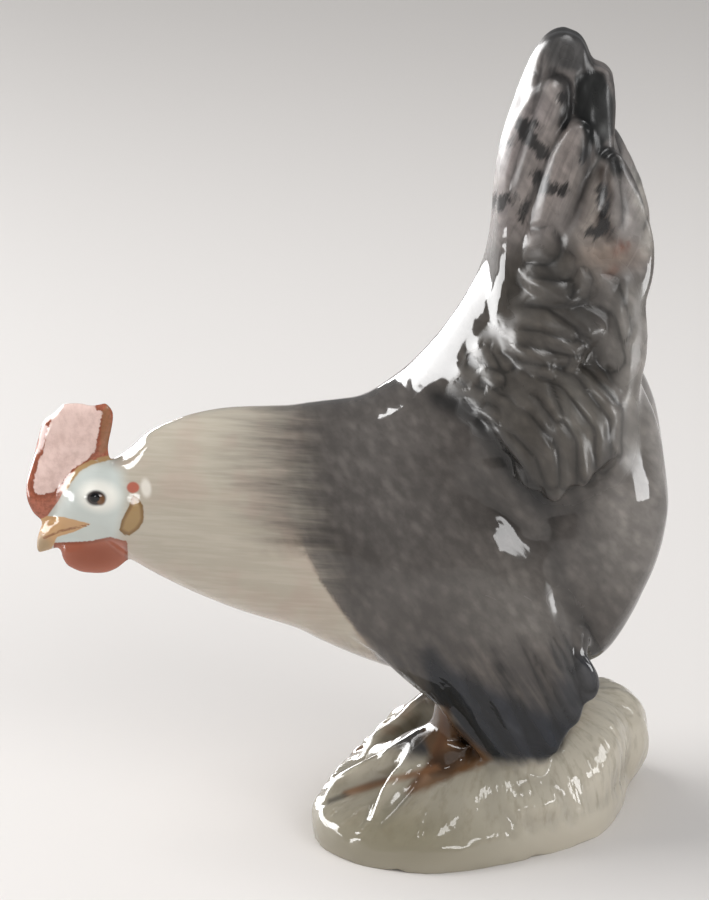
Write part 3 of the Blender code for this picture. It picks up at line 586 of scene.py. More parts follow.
# %% Wing tips
SLATE = (27, 32, 41)
BELLY = (170, 154, 136)
below_line = down - 0.465 * (across - 431) - 658
wing_side = fade(aside, 11.0, 15.0)
tip_zone = (fade(below_line, -10, 12) * on_bird * (1.0 - fade(across, 592, 606))
            * fade(across, 420, 436) * wing_side)
low_wing = fade(down, 625, 680) * on_bird * fade(across, 430, 470) * (1.0 - fade(across, 560, 590))
spray((94, 87, 81), low_wing, 0.7)
rear_wedge = (fade(across + 0.3 * (down - 660), 552, 580) * fade(down, 640, 664) * on_bird
              * (1.0 - fade(across, 600, 612)))
spray((58, 59, 62), rear_wedge, 0.85)
spray(SLATE, tip_zone, 0.93)
FRONT_EDGE = [(430, 656), (440, 690), (456, 712), (478, 740), (506, 766)]
spray((24, 28, 34), stroke(FRONT_EDGE, 11, 0.8) * on_bird * wing_side, 0.8)
spray((56, 58, 62), stroke([(470, 700), (500, 722), (530, 738)], 5, 0.9) * on_bird, 0.5)
spray((74, 72, 70), blob(566, 655, 11, 12, 0, 0.7), 0.7)
spray((30, 32, 34), stroke([(552, 648), (558, 664), (572, 672), (580, 664)], 3.5, 0.8), 0.7)
under_belly = (1.0 - wing_side) * fade(down, 640, 680) * on_bird * (1.0 - fade(across, 550, 585))
spray(BELLY, under_belly, 0.9)
print("points of the dark tips:", int((tip_zone > 0.5).sum()))

# %% [markdown]
# ## Tail
# The tail feathers are grey with a breath of rose, and browner towards the rump. Thin sprayed
# layers do the grounds first.

# %% Grounds of the tail
TAIL_GREY = (124, 117, 113)
TAIL_BEIGE = (144, 138, 134)
tail = 1.0 - fade(down + 0.25 * (across - 560), 215, 262)
spray(TAIL_GREY, tail, 0.95)
front_feather = stroke([(494, 235), (500, 180), (516, 140), (536, 110)], 17, 0.8)
spray((142, 133, 130), front_feather * tail, 0.85)
spray((132, 123, 118), stroke([(530, 220), (552, 168), (562, 140)], 22, 0.7) * tail, 0.9)
spray((140, 131, 123), stroke([(600, 260), (600, 215), (596, 185)], 26, 0.8), 0.85)
spray(TAIL_BEIGE, stroke([(622, 190), (630, 225), (632, 262)], 20, 0.8), 0.8)
# A painted reflection: a pale stroke down the tail's rear edge.
spray((172, 166, 158), stroke([(638, 196), (648, 226), (646, 252)], 8, 0.9), 0.75)
spray((128, 110, 97), blob(612, 256, 34, 17, 0, 0.9), 0.8)
print("points of the tail:", int((tail > 0.5).sum()))

# %% [markdown]
# ### Marks of the tail
# Brush marks come over the grounds: brown mottling on the outer feather and dark tips. A short
# white line on the outer feather is a painted highlight. A mark is a stroke, a blob or a patch, as
# the brush, the sponge or a stencil would leave it.

# %% Marks of the tail
INK = (22, 22, 22)
spray((60, 50, 44), stroke([(603, 172), (608, 196), (602, 222), (610, 238)], 8, 0.7), 0.9)
spray((56, 46, 40), blob(602, 228, 14, 9, -20, 0.6), 0.9)
# A painted highlight: a short white line on the outer feather.
spray((204, 200, 194), stroke([(590, 172), (596, 160), (602, 154)], 3.5, 0.8), 0.7)
spray((112, 72, 58), blob(622, 247, 11, 5, -30, 0.7), 0.85)
spray((112, 76, 60), blob(612, 272, 9, 5, -20, 0.7), 0.75)
spray((92, 84, 80), stroke([(592, 160), (584, 185), (580, 215)], 8, 0.9), 0.8)
spray(INK, stroke([(600, 150), (610, 156), (617, 168)], 9, 0.6), 0.95)
spray((36, 35, 35), stroke([(552, 74), (566, 82), (570, 104), (562, 122)], 7, 0.7), 0.85)
spray((48, 45, 43), stroke([(541, 174), (532, 196), (522, 220)], 3.5, 0.7), 0.75)
spray((40, 37, 34), stroke([(574, 108), (586, 118), (590, 136), (584, 154)], 6.5, 0.6), 0.92)
DARK_TIP = [
    (574, 76), (590, 68), (604, 74), (614, 100), (613, 134), (600, 148), (588, 142), (576, 112),
]
GREY_TIP = [
    (545, 40), (556, 30), (572, 26), (590, 36), (595, 58), (582, 74), (562, 70), (548, 68),
]
spray((28, 29, 28), patch(DARK_TIP, 5), 0.98)
spray((70, 69, 68), patch(GREY_TIP, 10), 0.9)
spray((44, 43, 43), stroke([(552, 36), (570, 30), (588, 44)], 7, 0.8), 0.7)
rear_edge = stroke([(606, 130), (628, 158), (646, 200)], 8, 0.8) * fade(seam, 2.0, 6.0)
spray((104, 104, 103), rear_edge, 0.6)
print("darkest paint on the tail:", np.round(paint[tail > 0.5].min(axis=0), 3))

# %% [markdown]
# ## Neck, belly and head
# The neck and the belly are cream, warmer below, with a soft border to the grey. The belly is
# sprayed up to a line from the throat to the wing's tip. The neck and the head are only marked
# here, because their hairs and outlines are drawn by the material.

# %% Neck, belly and head
BELLY_LINE = [
    (250, 380), (290, 480), (304, 545), (320, 580), (345, 615), (380, 660), (410, 690), (446, 708),
    (470, 735), (502, 770), (540, 800),
]
spray((186, 168, 148), stroke([(230, 600), (290, 622), (360, 655)], 16, 0.9), 0.5)
distance, signed = line_offset(BELLY_LINE)
is_belly = fade(signed, -2.0, 4.0) * fade(down, 520, 575) * on_bird * fade(height, 30.0, 36.0)
spray(BELLY, is_belly)
neck_far = across - 0.30 * np.clip(down - 470, 0, 90)
neck = np.clip((338 - neck_far) / 150.0, 0.0, 1.0) * on_bird
neck = np.maximum(neck, is_belly * (1.0 - fade(across, 330, 400)))
head = 1.0 - fade(across, 142, 156)
print("neck points:", int((neck > 0.5).sum()), "head points:", int((head > 0.5).sum()))

# %% [markdown]
# ## The mound
# The mound is a grey green that thins to beige, and its rim is palest at the rear. It is sprayed
# like the bird, one soft colour over the other.

# %% Mound
MOSS = (160, 153, 137)
MOUND_PALE = (196, 188, 172)
spray(MOSS, 1.0 - on_bird)
spray(MOUND_PALE, fade(across, 470, 620) * (1.0 - on_bird), 0.85)
spray((122, 115, 94), blob(400, 836, 84, 34, 5, 0.9) * (1.0 - on_bird), 0.8)
spray((176, 168, 152), blob(372, 768, 40, 16, -20, 0.9) * (1.0 - on_bird), 0.7)
spray((176, 160, 138), blob(560, 720, 40, 20, -30, 0.9) * (1.0 - on_bird), 0.4)
print("points of the mound:", int((on_bird < 0.5).sum()))

# %% [markdown]
# ### Legs and toes
# The legs are brown, the toes lighter and the claws dark, painted with a small brush on the
# modelled legs. The rear of the leg gets a dark painted shade. The masks measure how far a point
# is from the middle and how high it is, so that the paint keeps to the legs and stays off the wing
# in front of them.

# %% Legs
LEG_BROWN = (92, 70, 50)
x_mm = (points[:, 0] - BIRD_X) * MM
raised = fade(-hollow, 0.02, 0.16)
on_wing = fade(aside, 22.8, 24.0) * fade(height, 17.0, 21.0)
leg_ring = 1.0 - fade(np.hypot(x_mm + 6.0, aside - 16.0), 6.8, 8.0)
leg_space = leg_ring * (1.0 - fade(height, 40.0, 45.0))
leg_mark = leg_space * fade(height, 14.5, 18.0) * (1.0 - fade(aside, 22.6, 23.6))
spray(LEG_BROWN, leg_mark)
LEG = [
    (440, 704), (440, 731), (426, 766), (408, 788), (392, 812), (404, 812), (420, 798), (436, 784),
    (456, 776), (478, 768), (494, 760), (486, 742), (462, 716),
]
leg_side = (1.0 - fade(aside, 24.5, 27.5)) * (1.0 - fade(height, 38.0, 44.0))
not_wing = 1.0 - on_wing
foot = patch(LEG, 5) * leg_side * not_wing
spray((112, 82, 56), foot, 0.9)
front_of_leg = stroke([(446, 712), (444, 735), (432, 765), (414, 788)], 6, 0.8)
spray((84, 54, 34), front_of_leg * leg_side, 0.7)
# Painted shade on the rear of the leg.
shaded_leg = stroke([(458, 722), (464, 750), (440, 764)], 14, 0.9) * leg_side * not_wing
spray((48, 33, 20), shaded_leg, 0.85)
print("leg points:", int((leg_mark > 0.5).sum()))

# %% [markdown]
# ### Toes and claws
# Each toe is one stroke of the brush, from the ankle to the claw, and the claw a short darker
# one. The inner toe lies under the belly, so it is found by its place on the mound and by being
# raised.

# %% Toes and claws
long_toe = stroke([(436, 768), (405, 777), (372, 785), (346, 794)], 4.5, 0.8) * leg_side
spray((120, 84, 56), long_toe, 0.85)
spray((150, 118, 92), stroke([(426, 778), (408, 793), (396, 808)], 4.5, 0.8) * leg_side, 0.6)
spray((74, 70, 62), stroke([(345, 796), (330, 801)], 3.5, 0.7) * leg_side, 0.8)
spray((84, 78, 68), stroke([(394, 812), (386, 822)], 3.2, 0.7) * leg_side, 0.7)
inner_toe = (1.0 - fade(np.abs(aside - 9.5), 3.0, 6.0)) * fade(x_mm, -25.0, -22.0)
inner_toe = inner_toe * (1.0 - fade(x_mm, -12.0, -9.0))
spray((140, 112, 90), inner_toe * raised * (1.0 - fade(height, 20.0, 24.0)), 0.5)
foot = np.maximum(foot, long_toe)
print("toe points:", int((long_toe > 0.5).sum()))

# %% [markdown]
# ## Glaze, painted shade and painted light over the paint
# Fired glaze takes a little paint along: it runs thin over a crest and pools in a hollow. Besides
# that, hollows are darkened with painted shade and crests paled with painted light. Each carved
# lobe gets a painted highlight on its round top and painted shade at its edge. So the paint is
# multiplied by numbers that come from the hollows and from the round tops.

# %% Glaze, painted shade and painted light over grooves and crests
LOBE_PAINTED_LIGHT = 0.34
LOBE_MIDDLE = 0.55
BIRD_HOLLOW_SHADE, BIRD_CREST_LIGHT = 0.42, 0.22
MOUND_HOLLOW_SHADE, MOUND_CREST_LIGHT = 0.22, 0.10
PALEST = 0.9
lobed = (1.0 - fade(seam, 16.0, 30.0)) * on_bird * faces_side
# Painted light on each lobe's round top, painted shade at its edge.
paint *= (1.0 + LOBE_PAINTED_LIGHT * (round_top - LOBE_MIDDLE) * lobed)[:, None]
# Hollows get painted shade and crests painted light, besides what the glaze does.
deep = fade(hollow, 0.05, 0.30) * on_bird
crest = fade(-hollow, 0.06, 0.32) * on_bird
glaze_and_painted_light = (1.0 - BIRD_HOLLOW_SHADE * deep) * (1.0 + BIRD_CREST_LIGHT * crest * (1.0 - head))
paint *= glaze_and_painted_light[:, None]
# On the mound too, hollows get painted shade and crests painted light.
mound_deep = fade(hollow, 0.05, 0.30) * (1.0 - on_bird)
mound_crest = fade(-hollow, 0.02, 0.16) * (1.0 - on_bird)
paint *= ((1.0 - MOUND_HOLLOW_SHADE * mound_deep) * (1.0 + MOUND_CREST_LIGHT * mound_crest))[:, None]
paint = np.clip(paint, 0.0, PALEST)
print("the glaze dims and lifts by:", round(float(glaze_and_painted_light.min()), 2), round(float(glaze_and_painted_light.max()), 2))

# %% [markdown]
# ## Marks for the material
# The large zones are on the skin now. What has to be sharper than the skin's points, or be
# broken up by the hairs of a brush, is left to the material, which is told by a few numbers on
# each point where it may work.

# %% Colour and zones
def store(name, values):
    """Keep one number for each point of the skin."""
    layer = casting.data.attributes.new(name, "FLOAT", "POINT")
    layer.data.foreach_set("value", np.ascontiguousarray(values, np.float32))


colour_layer = casting.data.color_attributes.new("underglaze", "FLOAT_COLOR", "POINT")
flat = np.ones((count, 4), np.float32)
flat[:, :3] = paint
colour_layer.data.foreach_set("color", flat.ravel())
plumage = on_bird * (1.0 - head) * (1.0 - leg_mark)
store("plumage", plumage)
store("neck", neck)
store("grassy", (1.0 - on_bird) * fade(height, 5.5, 8.5) * (1.0 - foot))
store("streaks", fade(down, 620, 690) * on_bird * (1.0 - leg_mark))
store("tail", tail * on_bird)
print("zones kept:", len(casting.data.attributes))

# %% [markdown]
# ### Outlines of the head
# Comb, face, beak, wattle and ear lobe are small and crisp on the real head. Their outlines are
# drawn on the chart. The skin keeps how far inside each one a point lies, in tens of chart
# units, because such a distance changes evenly from point to point, while a colour would step.

# %% Outlines of the head
COMB = [
    (-5, 380), (128, 380), (118, 420), (111, 445), (109, 457), (92, 461), (79, 468), (70, 479),
    (64, 490), (59, 500), (51, 511), (46, 518), (34, 529), (10, 530), (-5, 455),
]
COMB_FACE = [
    (61, 410), (82, 407), (97, 410), (103, 413), (99, 427), (97, 439), (94, 453), (85, 461),
    (71, 470), (63, 482), (53, 492), (38, 495), (33, 490), (35, 471), (41, 460), (43, 447),
    (48, 430), (56, 421),
]
COMB_BACK = [(102, 412), (109, 402), (112, 430), (106, 452), (99, 455), (101, 436)]
FACE_SIDE = [
    (47, 517), (60, 500), (70, 480), (79, 469), (92, 462), (110, 459), (122, 472), (126, 495),
    (122, 520), (118, 542), (100, 550), (58, 550), (48, 536),
]
BEAK = [
    (47, 516), (64, 517), (91, 524), (74, 532), (57, 537), (50, 552), (28, 560), (22, 540),
    (34, 522),
]
WATTLE = [
    (54, 543), (72, 542), (90, 541), (110, 537), (127, 541), (128, 560), (113, 590), (80, 590),
    (52, 570),
]
LOBE = [
    (132, 494), (139, 498), (143, 506), (144, 520), (138, 530), (127, 537), (119, 530), (122, 519),
    (129, 506),
]
OUTLINES = {
    "comb": COMB, "comb_face": COMB_FACE, "comb_back": COMB_BACK, "face": FACE_SIDE,
    "beak": BEAK, "wattle": WATTLE, "lobe": LOBE,
}
FAR_OUTSIDE = -90.0
head_side = head > 0.02
for name, outline in OUTLINES.items():
    store(name, np.where(head_side, outline_offset(outline), FAR_OUTSIDE) / 10.0)
print("outlines of the head:", len(OUTLINES))

# %% [markdown]
# ### Bars and lines
# The dark bars of the tail, the ochre line under the comb and the line of the closed beak are
# single brush strokes. Each is a line with a width, and the skin keeps how far inside the stroke
# a point lies.

# %% Bars and lines
BARS = [
    ([(520, 124), (531, 138), (543, 154)], 7.0), ([(522, 122), (537, 125)], 4.0),
    ([(499, 143), (508, 140)], 4.0), ([(487, 205), (500, 201), (513, 199)], 7.0),
    ([(538, 176), (544, 187), (563, 190)], 7.0), ([(601, 226), (604, 205), (602, 192)], 6.0),
    ([(592, 232), (606, 228)], 6.0), ([(586, 150), (584, 160)], 3.0),
    ([(520, 222), (530, 204)], 3.0), ([(562, 96), (568, 110), (564, 124)], 4.0),
]
COMB_LINE = [(112, 457), (92, 462), (79, 469), (70, 480), (65, 489)]
COMB_LINE_WIDTH = 2.4
GAPE = [(44, 538), (60, 531), (88, 525)]
GAPE_WIDTH = 1.2
bar_far = np.full(count, FAR_OUTSIDE)
for line, width in BARS:
    distance, signed = line_offset(line)
    bar_far = np.maximum(bar_far, width - distance)
store("bars", bar_far / 10.0)
for name, line, width in (("comb_line", COMB_LINE, COMB_LINE_WIDTH), ("gape", GAPE, GAPE_WIDTH)):
    distance, signed = line_offset(line)
    store(name, np.where(head_side, width - distance, FAR_OUTSIDE) / 10.0)
print("bars on the tail:", len(BARS))

# %% [markdown]
# ### Seams, ruffles and charts
# The material darkens each seam, roughens the glaze among the ruffles, and needs two charts of
# its own: the side chart for the bird, and one that runs around and down the mound for the
# grass. Both ride on the skin's points, so a pattern stays in place from every side.

# %% Seams, ruffles and charts
store("seam", seam / 10.0)
store("seam_power", on_bird * faces_side * (1.0 - saddle) * (1.0 - leg_mark))
ruffle_zone = ((1.0 - fade(seam, 14.0, 26.0)) * on_bird * (1.0 - fade(down, 600, 640))
               * (1.0 - saddle))


def store_chart(name, columns):
    """Keep three numbers for each point of the skin."""
    layer = casting.data.attributes.new(name, "FLOAT_VECTOR", "POINT")
    values = np.ascontiguousarray(np.stack(columns, axis=1), np.float32)
    layer.data.foreach_set("vector", values.ravel())


away_from_foot = np.hypot(points[:, 0] - BIRD_X - MOUND_OFFSET, points[:, 1]) * MM
down_slope = (away_from_foot - height) * 0.22
store_chart("grass", [np.cos(angle) * 22.0, np.sin(angle) * 22.0, down_slope])
store("ruffled", np.clip(ruffle_zone, 0.0, 1.0))
store_chart("chart", [across / 100.0, down / 100.0, aside / 100.0])
layers = [layer.name for layer in casting.data.attributes if not layer.name.startswith(".")]
print("attributes:", layers)

# %% [markdown]
# ## The painted glaze
# A clear glaze lies over the paint, smooth and hard, so the material is nearly a mirror at a
# glancing angle, and the paint shows through it. The nodes below read the chart from the skin,
# so that every pattern stays on the surface from all sides.

# %% Small helpers for nodes
glaze = bpy.data.materials.new("painted_glaze")
glaze.use_nodes = True
nodes = glaze.node_tree.nodes
links = glaze.node_tree.links
shader = nodes["Principled BSDF"]
GLAZE_IOR = 1.5
shader.inputs["IOR"].default_value = GLAZE_IOR


def node(kind, **settings):
    """Add a node and set what is named."""
    item = nodes.new(kind)
    for name, value in settings.items():
        setattr(item, name, value)
    return item


def plug(value, socket):
    """Link an output, or set a plain value."""
    if isinstance(value, bpy.types.NodeSocket):
        links.new(value, socket)
    else:
        socket.default_value = value


def maths(operation, first, second):
    """One Math node."""
    item = node("ShaderNodeMath", operation=operation)
    for value, socket in zip((first, second), item.inputs):
        plug(value, socket)
    return item.outputs[0]


def number(name):
    """A number kept on the skin."""
    return node("ShaderNodeAttribute", attribute_name=name).outputs["Fac"]


def remap(value, start, end, low=0.0, high=1.0):
    """A soft step."""
    item = node("ShaderNodeMapRange", interpolation_type="SMOOTHSTEP")
    for part, socket in zip((value, start, end, low, high), item.inputs):
        plug(part, socket)
    return item.outputs[0]


print("sockets of the shader:", len(shader.inputs))

# %% [markdown]
# ### Patterns and colours
# Feather patterns have a grain: they are long one way and short the other. So a pattern is
# cloudy noise on a chart that is turned along the feathers and stretched. Colours are mixed
# one over the other, like coats of paint.

# %% Helpers for patterns and colours
def turned(vector, turn, size, middle=(0.0, 0.0)):
    """The chart, moved, turned by degrees and stretched."""
    shift = node("ShaderNodeVectorMath", operation="SUBTRACT")
    plug(vector, shift.inputs[0])
    shift.inputs[1].default_value = (middle[0], middle[1], 0.0)
    item = node("ShaderNodeMapping", vector_type="TEXTURE")
    plug(shift.outputs[0], item.inputs["Vector"])
    item.inputs["Rotation"].default_value = (0.0, 0.0, math.radians(turn))
    item.inputs["Scale"].default_value = (size[0], size[1], 1.0)
    return item.outputs[0]


def noise(vector, scale, detail=2.0, rough=0.5):
    """Cloudy noise from 0 to 1."""
    item = node("ShaderNodeTexNoise")
    plug(vector, item.inputs["Vector"])
    item.inputs["Scale"].default_value = scale
    item.inputs["Detail"].default_value = detail
    item.inputs["Roughness"].default_value = rough
    return item.outputs["Fac"]


def blend_colour(amount, first, second):
    """Mix two colours."""
    item = node("ShaderNodeMix", data_type="RGBA")
    plug(amount, item.inputs["Factor"])
    for value, socket in ((first, item.inputs[6]), (second, item.inputs[7])):
        if isinstance(value, bpy.types.NodeSocket):
            links.new(value, socket)
        else:
            socket.default_value = (*[float(c) for c in linear(*value)], 1.0)
    return item.outputs[2]


def toned(paint_colour, tone):
    """A colour made darker or paler."""
    item = node("ShaderNodeVectorMath", operation="SCALE")
    plug(paint_colour, item.inputs[0])
    plug(tone, item.inputs["Scale"])
    return item.outputs[0]


chart = node("ShaderNodeAttribute", attribute_name="chart").outputs["Vector"]


def spot(x, y, long, wide, turn=0.0, soft=0.3):
    """An oval mark on the chart, sharper than the skin's own points."""
    length = node("ShaderNodeVectorMath", operation="LENGTH")
    flatten = node("ShaderNodeVectorMath", operation="MULTIPLY")
    oval = turned(chart, turn, (long / 100.0, wide / 100.0), (x / 100.0, y / 100.0))
    plug(oval, flatten.inputs[0])
    flatten.inputs[1].default_value = (1.0, 1.0, 0.0)
    links.new(flatten.outputs[0], length.inputs[0])
    return remap(length.outputs["Value"], 1.0 + soft, 1.0 - soft)


print("nodes so far:", len(nodes))

# %% [markdown]
# ### Scales of the plumage
# Small soft scales cover the grey: a cell pattern, stretched along the lie of the feathers, with
# a dark hollow to each cell. Clouds of tone lie over it, as thin paint leaves them. The cells are
# bent by noise first, because straight cells would look printed.

# %% Scales
SCALE_GRAIN = 55.0
colour = node("ShaderNodeAttribute", attribute_name="underglaze").outputs["Color"]
wobble = node("ShaderNodeVectorMath", operation="MULTIPLY_ADD")
drift = node("ShaderNodeTexNoise")
links.new(chart, drift.inputs["Vector"])
drift.inputs["Scale"].default_value = 3.0
links.new(drift.outputs["Color"], wobble.inputs[0])
wobble.inputs[1].default_value = (0.12, 0.12, 0.0)
links.new(chart, wobble.inputs[2])
cells = node("ShaderNodeTexVoronoi", feature="SMOOTH_F1")
links.new(turned(wobble.outputs[0], SCALE_GRAIN, (1.7, 1.0)), cells.inputs["Vector"])
cells.inputs["Scale"].default_value = 9.5
cells.inputs["Smoothness"].default_value = 0.6
scale_tone = remap(cells.outputs["Distance"], 0.12, 0.58, 1.07, 0.84)
cloud = noise(turned(chart, 50.0, (1.6, 1.0)), 9.0, 3.0, 0.6)
cloud_tone = remap(cloud, 0.32, 0.68, 0.86, 1.12)
tone = maths("MULTIPLY", scale_tone, cloud_tone)
plumage_mark = number("plumage")
tone = maths("ADD", maths("MULTIPLY", maths("SUBTRACT", tone, 1.0), plumage_mark), 1.0)
colour = toned(colour, tone)
print("nodes with the scales:", len(nodes))

# %% [markdown]
# ### Hairs of the neck
# On the neck, a dry brush was drawn in long level hairs, so grey runs into the cream in fine
# streaks. Noise stretched along the hairs moves the border of the cream, most where the two are
# evenly mixed. A second, finer noise makes the hairs within the cream.

# %% Neck
CREAM = (188, 179, 163)
hair = noise(turned(chart, 4.0, (9.0, 0.8)), 9.0, 3.0, 0.6)
neck_here = number("neck")
border = maths("MULTIPLY", maths("MULTIPLY", neck_here, maths("SUBTRACT", 1.0, neck_here)), 3.2)
neck_edge = maths("ADD", neck_here, maths("MULTIPLY", maths("SUBTRACT", hair, 0.5), border))
neck_amount = remap(neck_edge, 0.05, 0.95)
blush = noise(chart, 2.2, 2.0)
cream = blend_colour(remap(blush, 0.45, 0.70, 0.0, 0.55), CREAM, (186, 166, 152))
fine_hair = noise(turned(chart, 3.0, (7.0, 0.5)), 12.0, 2.0)
cream = blend_colour(remap(fine_hair, 0.35, 0.65, 0.0, 0.22), cream, (150, 140, 124))
colour = blend_colour(neck_amount, colour, cream)
print("nodes with the neck:", len(nodes))

# %% [markdown]
# ### Streaks of the wing and marks of the tail
# The quills of the wing tips show as bluish black streaks, the barbs of the tail as faint lines,
# and dark bars cross the tail with frayed ends. All three are noise with a long grain, each
# turned the way its feathers lie.

# %% Wing streaks, barbs and bars
quill_streak = noise(turned(chart, 58.0, (9.0, 0.8)), 7.0, 3.0, 0.6)
streak_amount = maths("MULTIPLY", number("streaks"), remap(quill_streak, 0.35, 0.62, 0.0, 0.55))
colour = blend_colour(streak_amount, colour, (26, 30, 36))

barb = noise(turned(chart, -68.0, (8.0, 0.7)), 8.0, 3.0, 0.6)
barb_shade = maths("MULTIPLY", number("tail"), remap(barb, 0.42, 0.68, 0.0, 0.30))
barb_tone = maths("SUBTRACT", 1.0, barb_shade)
colour = toned(colour, barb_tone)
brush = noise(turned(chart, -62.0, (5.0, 0.8)), 16.0, 3.0, 0.65)
bar_edge = maths("ADD", number("bars"), maths("MULTIPLY", maths("SUBTRACT", brush, 0.5), 2.4))
colour = blend_colour(maths("MULTIPLY", remap(bar_edge, -0.35, 0.35), 0.92), colour, (26, 25, 25))
print("nodes with the bars:", len(nodes))

# %% [markdown]
# ### Grass
# The mound's paint is thin, and has streaks of a browner green along the blades of grass. They
# are noise on the chart that goes around and down the mound, so they run down the slope as the
# carved blades do.

# %% Grass colour
grass_chart = node("ShaderNodeAttribute", attribute_name="grass").outputs["Vector"]
grass_tone = noise(grass_chart, 0.7, 3.0, 0.6)
streaked = maths("MULTIPLY", number("grassy"), remap(grass_tone, 0.46, 0.72, 0.0, 0.34))
colour = blend_colour(streaked, colour, (122, 112, 92))
print("nodes with the grass:", len(nodes))

# %% [markdown]
# ### Seams
# Each feather's edge is a fine dark line, as paint settles in the cut that the tool left. Beside
# it lies a softer band of painted shade, for the groove in shade. The distance to the edge is kept
# on the skin, and two soft steps turn it into the line and the painted shade.

# %% Seams
LINE_SHADE = 0.26
SOFT_SHADE = 0.30
seam_far = number("seam")
seam_power = number("seam_power")
seam_line = maths("MULTIPLY", remap(seam_far, 0.26, 0.02), seam_power)
seam_shade_band = maths("MULTIPLY", remap(seam_far, 0.8, 0.0), seam_power)
seam_tone = maths("SUBTRACT", 1.0, maths("MULTIPLY", seam_line, LINE_SHADE))
seam_tone = maths("SUBTRACT", seam_tone, maths("MULTIPLY", seam_shade_band, SOFT_SHADE))
colour = toned(colour, seam_tone)
print("nodes with the seams:", len(nodes))

# %% [markdown]
# ### Paint of the head
# The head is small, and its marks are crisp. Each mark is an outline on the chart. How far a
# point lies inside it is kept on the skin, and the material draws the edge from that, a little
# ragged, as a brush leaves it.

# %% Face
FACE = (200, 205, 199)
ragged = maths("MULTIPLY", maths("SUBTRACT", noise(chart, 24.0, 2.0), 0.5), 0.55)


def within(name, soft=0.07, rough=0.0):
    """1 inside an outline that is kept on the skin."""
    far = number(name)
    if rough:
        far = maths("ADD", far, maths("MULTIPLY", ragged, rough))
    return remap(far, -soft, soft)


mottle = remap(noise(chart, 30.0, 3.0, 0.6), 0.35, 0.65)
colour = blend_colour(within("face", 0.9), colour, FACE)
# Painted highlight: a near-white ring round the eye, where the glaze on the round cheek mirrors a
# lamp.
eye_highlight = maths("MULTIPLY", spot(99, 496, 20, 15, 10, 0.4), 0.9)
colour = blend_colour(eye_highlight, colour, (244, 241, 231))
# Painted highlight: a small white patch behind the red spot by the ear.
ear_highlight = maths("MULTIPLY", spot(146, 488, 5, 9, -8, 0.4), 0.7)
colour = blend_colour(ear_highlight, colour, (238, 232, 221))
print("nodes with the face:", len(nodes))

# %% [markdown]
# ### Comb and wattle
# The wattle is brick red, and darker along its edge. The comb is red too, mottled by a sponge. Its
# flat side is painted a pale rose, a painted reflection of the window that its glaze mirrors, and
# this leaves a red rim. Each layer is laid inside its own outline, from the largest to the
# smallest, as the decorator does.

# %% Comb and wattle
WATTLE_ROUGH = 0.4
wattle_colour = blend_colour(spot(92, 556, 24, 12, 0, 0.7), (172, 104, 82), (146, 78, 54))
colour = blend_colour(within("wattle", 0.07, WATTLE_ROUGH), colour, wattle_colour)
wattle_rim = remap(number("wattle"), 0.45, 0.05)
wattle_rim = maths("MULTIPLY", wattle_rim, within("wattle", 0.07, WATTLE_ROUGH))
colour = blend_colour(maths("MULTIPLY", wattle_rim, 0.55), colour, (112, 60, 42))
brick = blend_colour(mottle, (178, 104, 80), (150, 88, 66))
colour = blend_colour(within("comb"), colour, brick)
rim = remap(maths("ADD", number("comb_face"), ragged), -0.6, -0.1)
rim = maths("MULTIPLY", rim, within("comb"))
colour = blend_colour(maths("MULTIPLY", rim, 0.65), colour, (128, 70, 50))
# Painted reflection: the pale rose on the comb's flat side.
blotch = remap(noise(chart, 11.0, 4.0, 0.7), 0.35, 0.7)
rose = blend_colour(blotch, (231, 203, 193), (214, 184, 174))
comb_side_reflection = maths("MULTIPLY", within("comb_face", 0.08, 1.0), within("comb"))
colour = blend_colour(comb_side_reflection, colour, rose)
comb_back = maths("MULTIPLY", within("comb_back", 0.15, 0.8), 0.6)
colour = blend_colour(comb_back, colour, (148, 112, 80))
colour = blend_colour(within("comb_line", 0.10, 0.3), colour, (172, 140, 98))
print("nodes with the comb:", len(nodes))

# %% [markdown]
# ### Beak, ear lobe and eye
# The beak is ochre with a darker line where it closes, the ear lobe a dull gold with a brown
# edge, and the eye a black pupil in a dark ring that is brown at the back. They are the last and
# smallest marks, so they lie over all others.

# %% Beak, ear lobe and eye
LOBE_GOLD = (160, 130, 86)
beak_colour = blend_colour(spot(40, 546, 12, 10, 0, 0.6), (200, 158, 112), (172, 146, 112))
colour = blend_colour(within("beak", 0.07, 0.2), colour, beak_colour)
colour = blend_colour(within("gape", 0.06, 0.2), colour, (150, 104, 70))
lobe_colour = blend_colour(spot(127, 506, 4, 14, 30, 0.6), LOBE_GOLD, (150, 92, 62))
lobe_colour = blend_colour(remap(number("lobe"), 0.5, 0.1), lobe_colour, (126, 96, 58))
colour = blend_colour(within("lobe", 0.08, 0.3), colour, lobe_colour)
colour = blend_colour(spot(133, 487.5, 6.2, 5.6, 0, 0.2), colour, (176, 102, 84))
colour = blend_colour(spot(96, 498, 9.8, 7.6, 0, 0.22), colour, (60, 54, 52))
colour = blend_colour(spot(101, 500, 4, 5, 0, 0.4), colour, (116, 82, 56))
colour = blend_colour(spot(95, 497.5, 4.8, 4.6, 0, 0.2), colour, (12, 12, 14))
links.new(colour, shader.inputs["Base Color"])
print("nodes with the eye:", len(nodes))

# %% [markdown]
# ### Relief under the glaze
# Barbs and scales are too fine to cut as geometry. A bump makes them: it is shallow, because
# the glaze fills them.

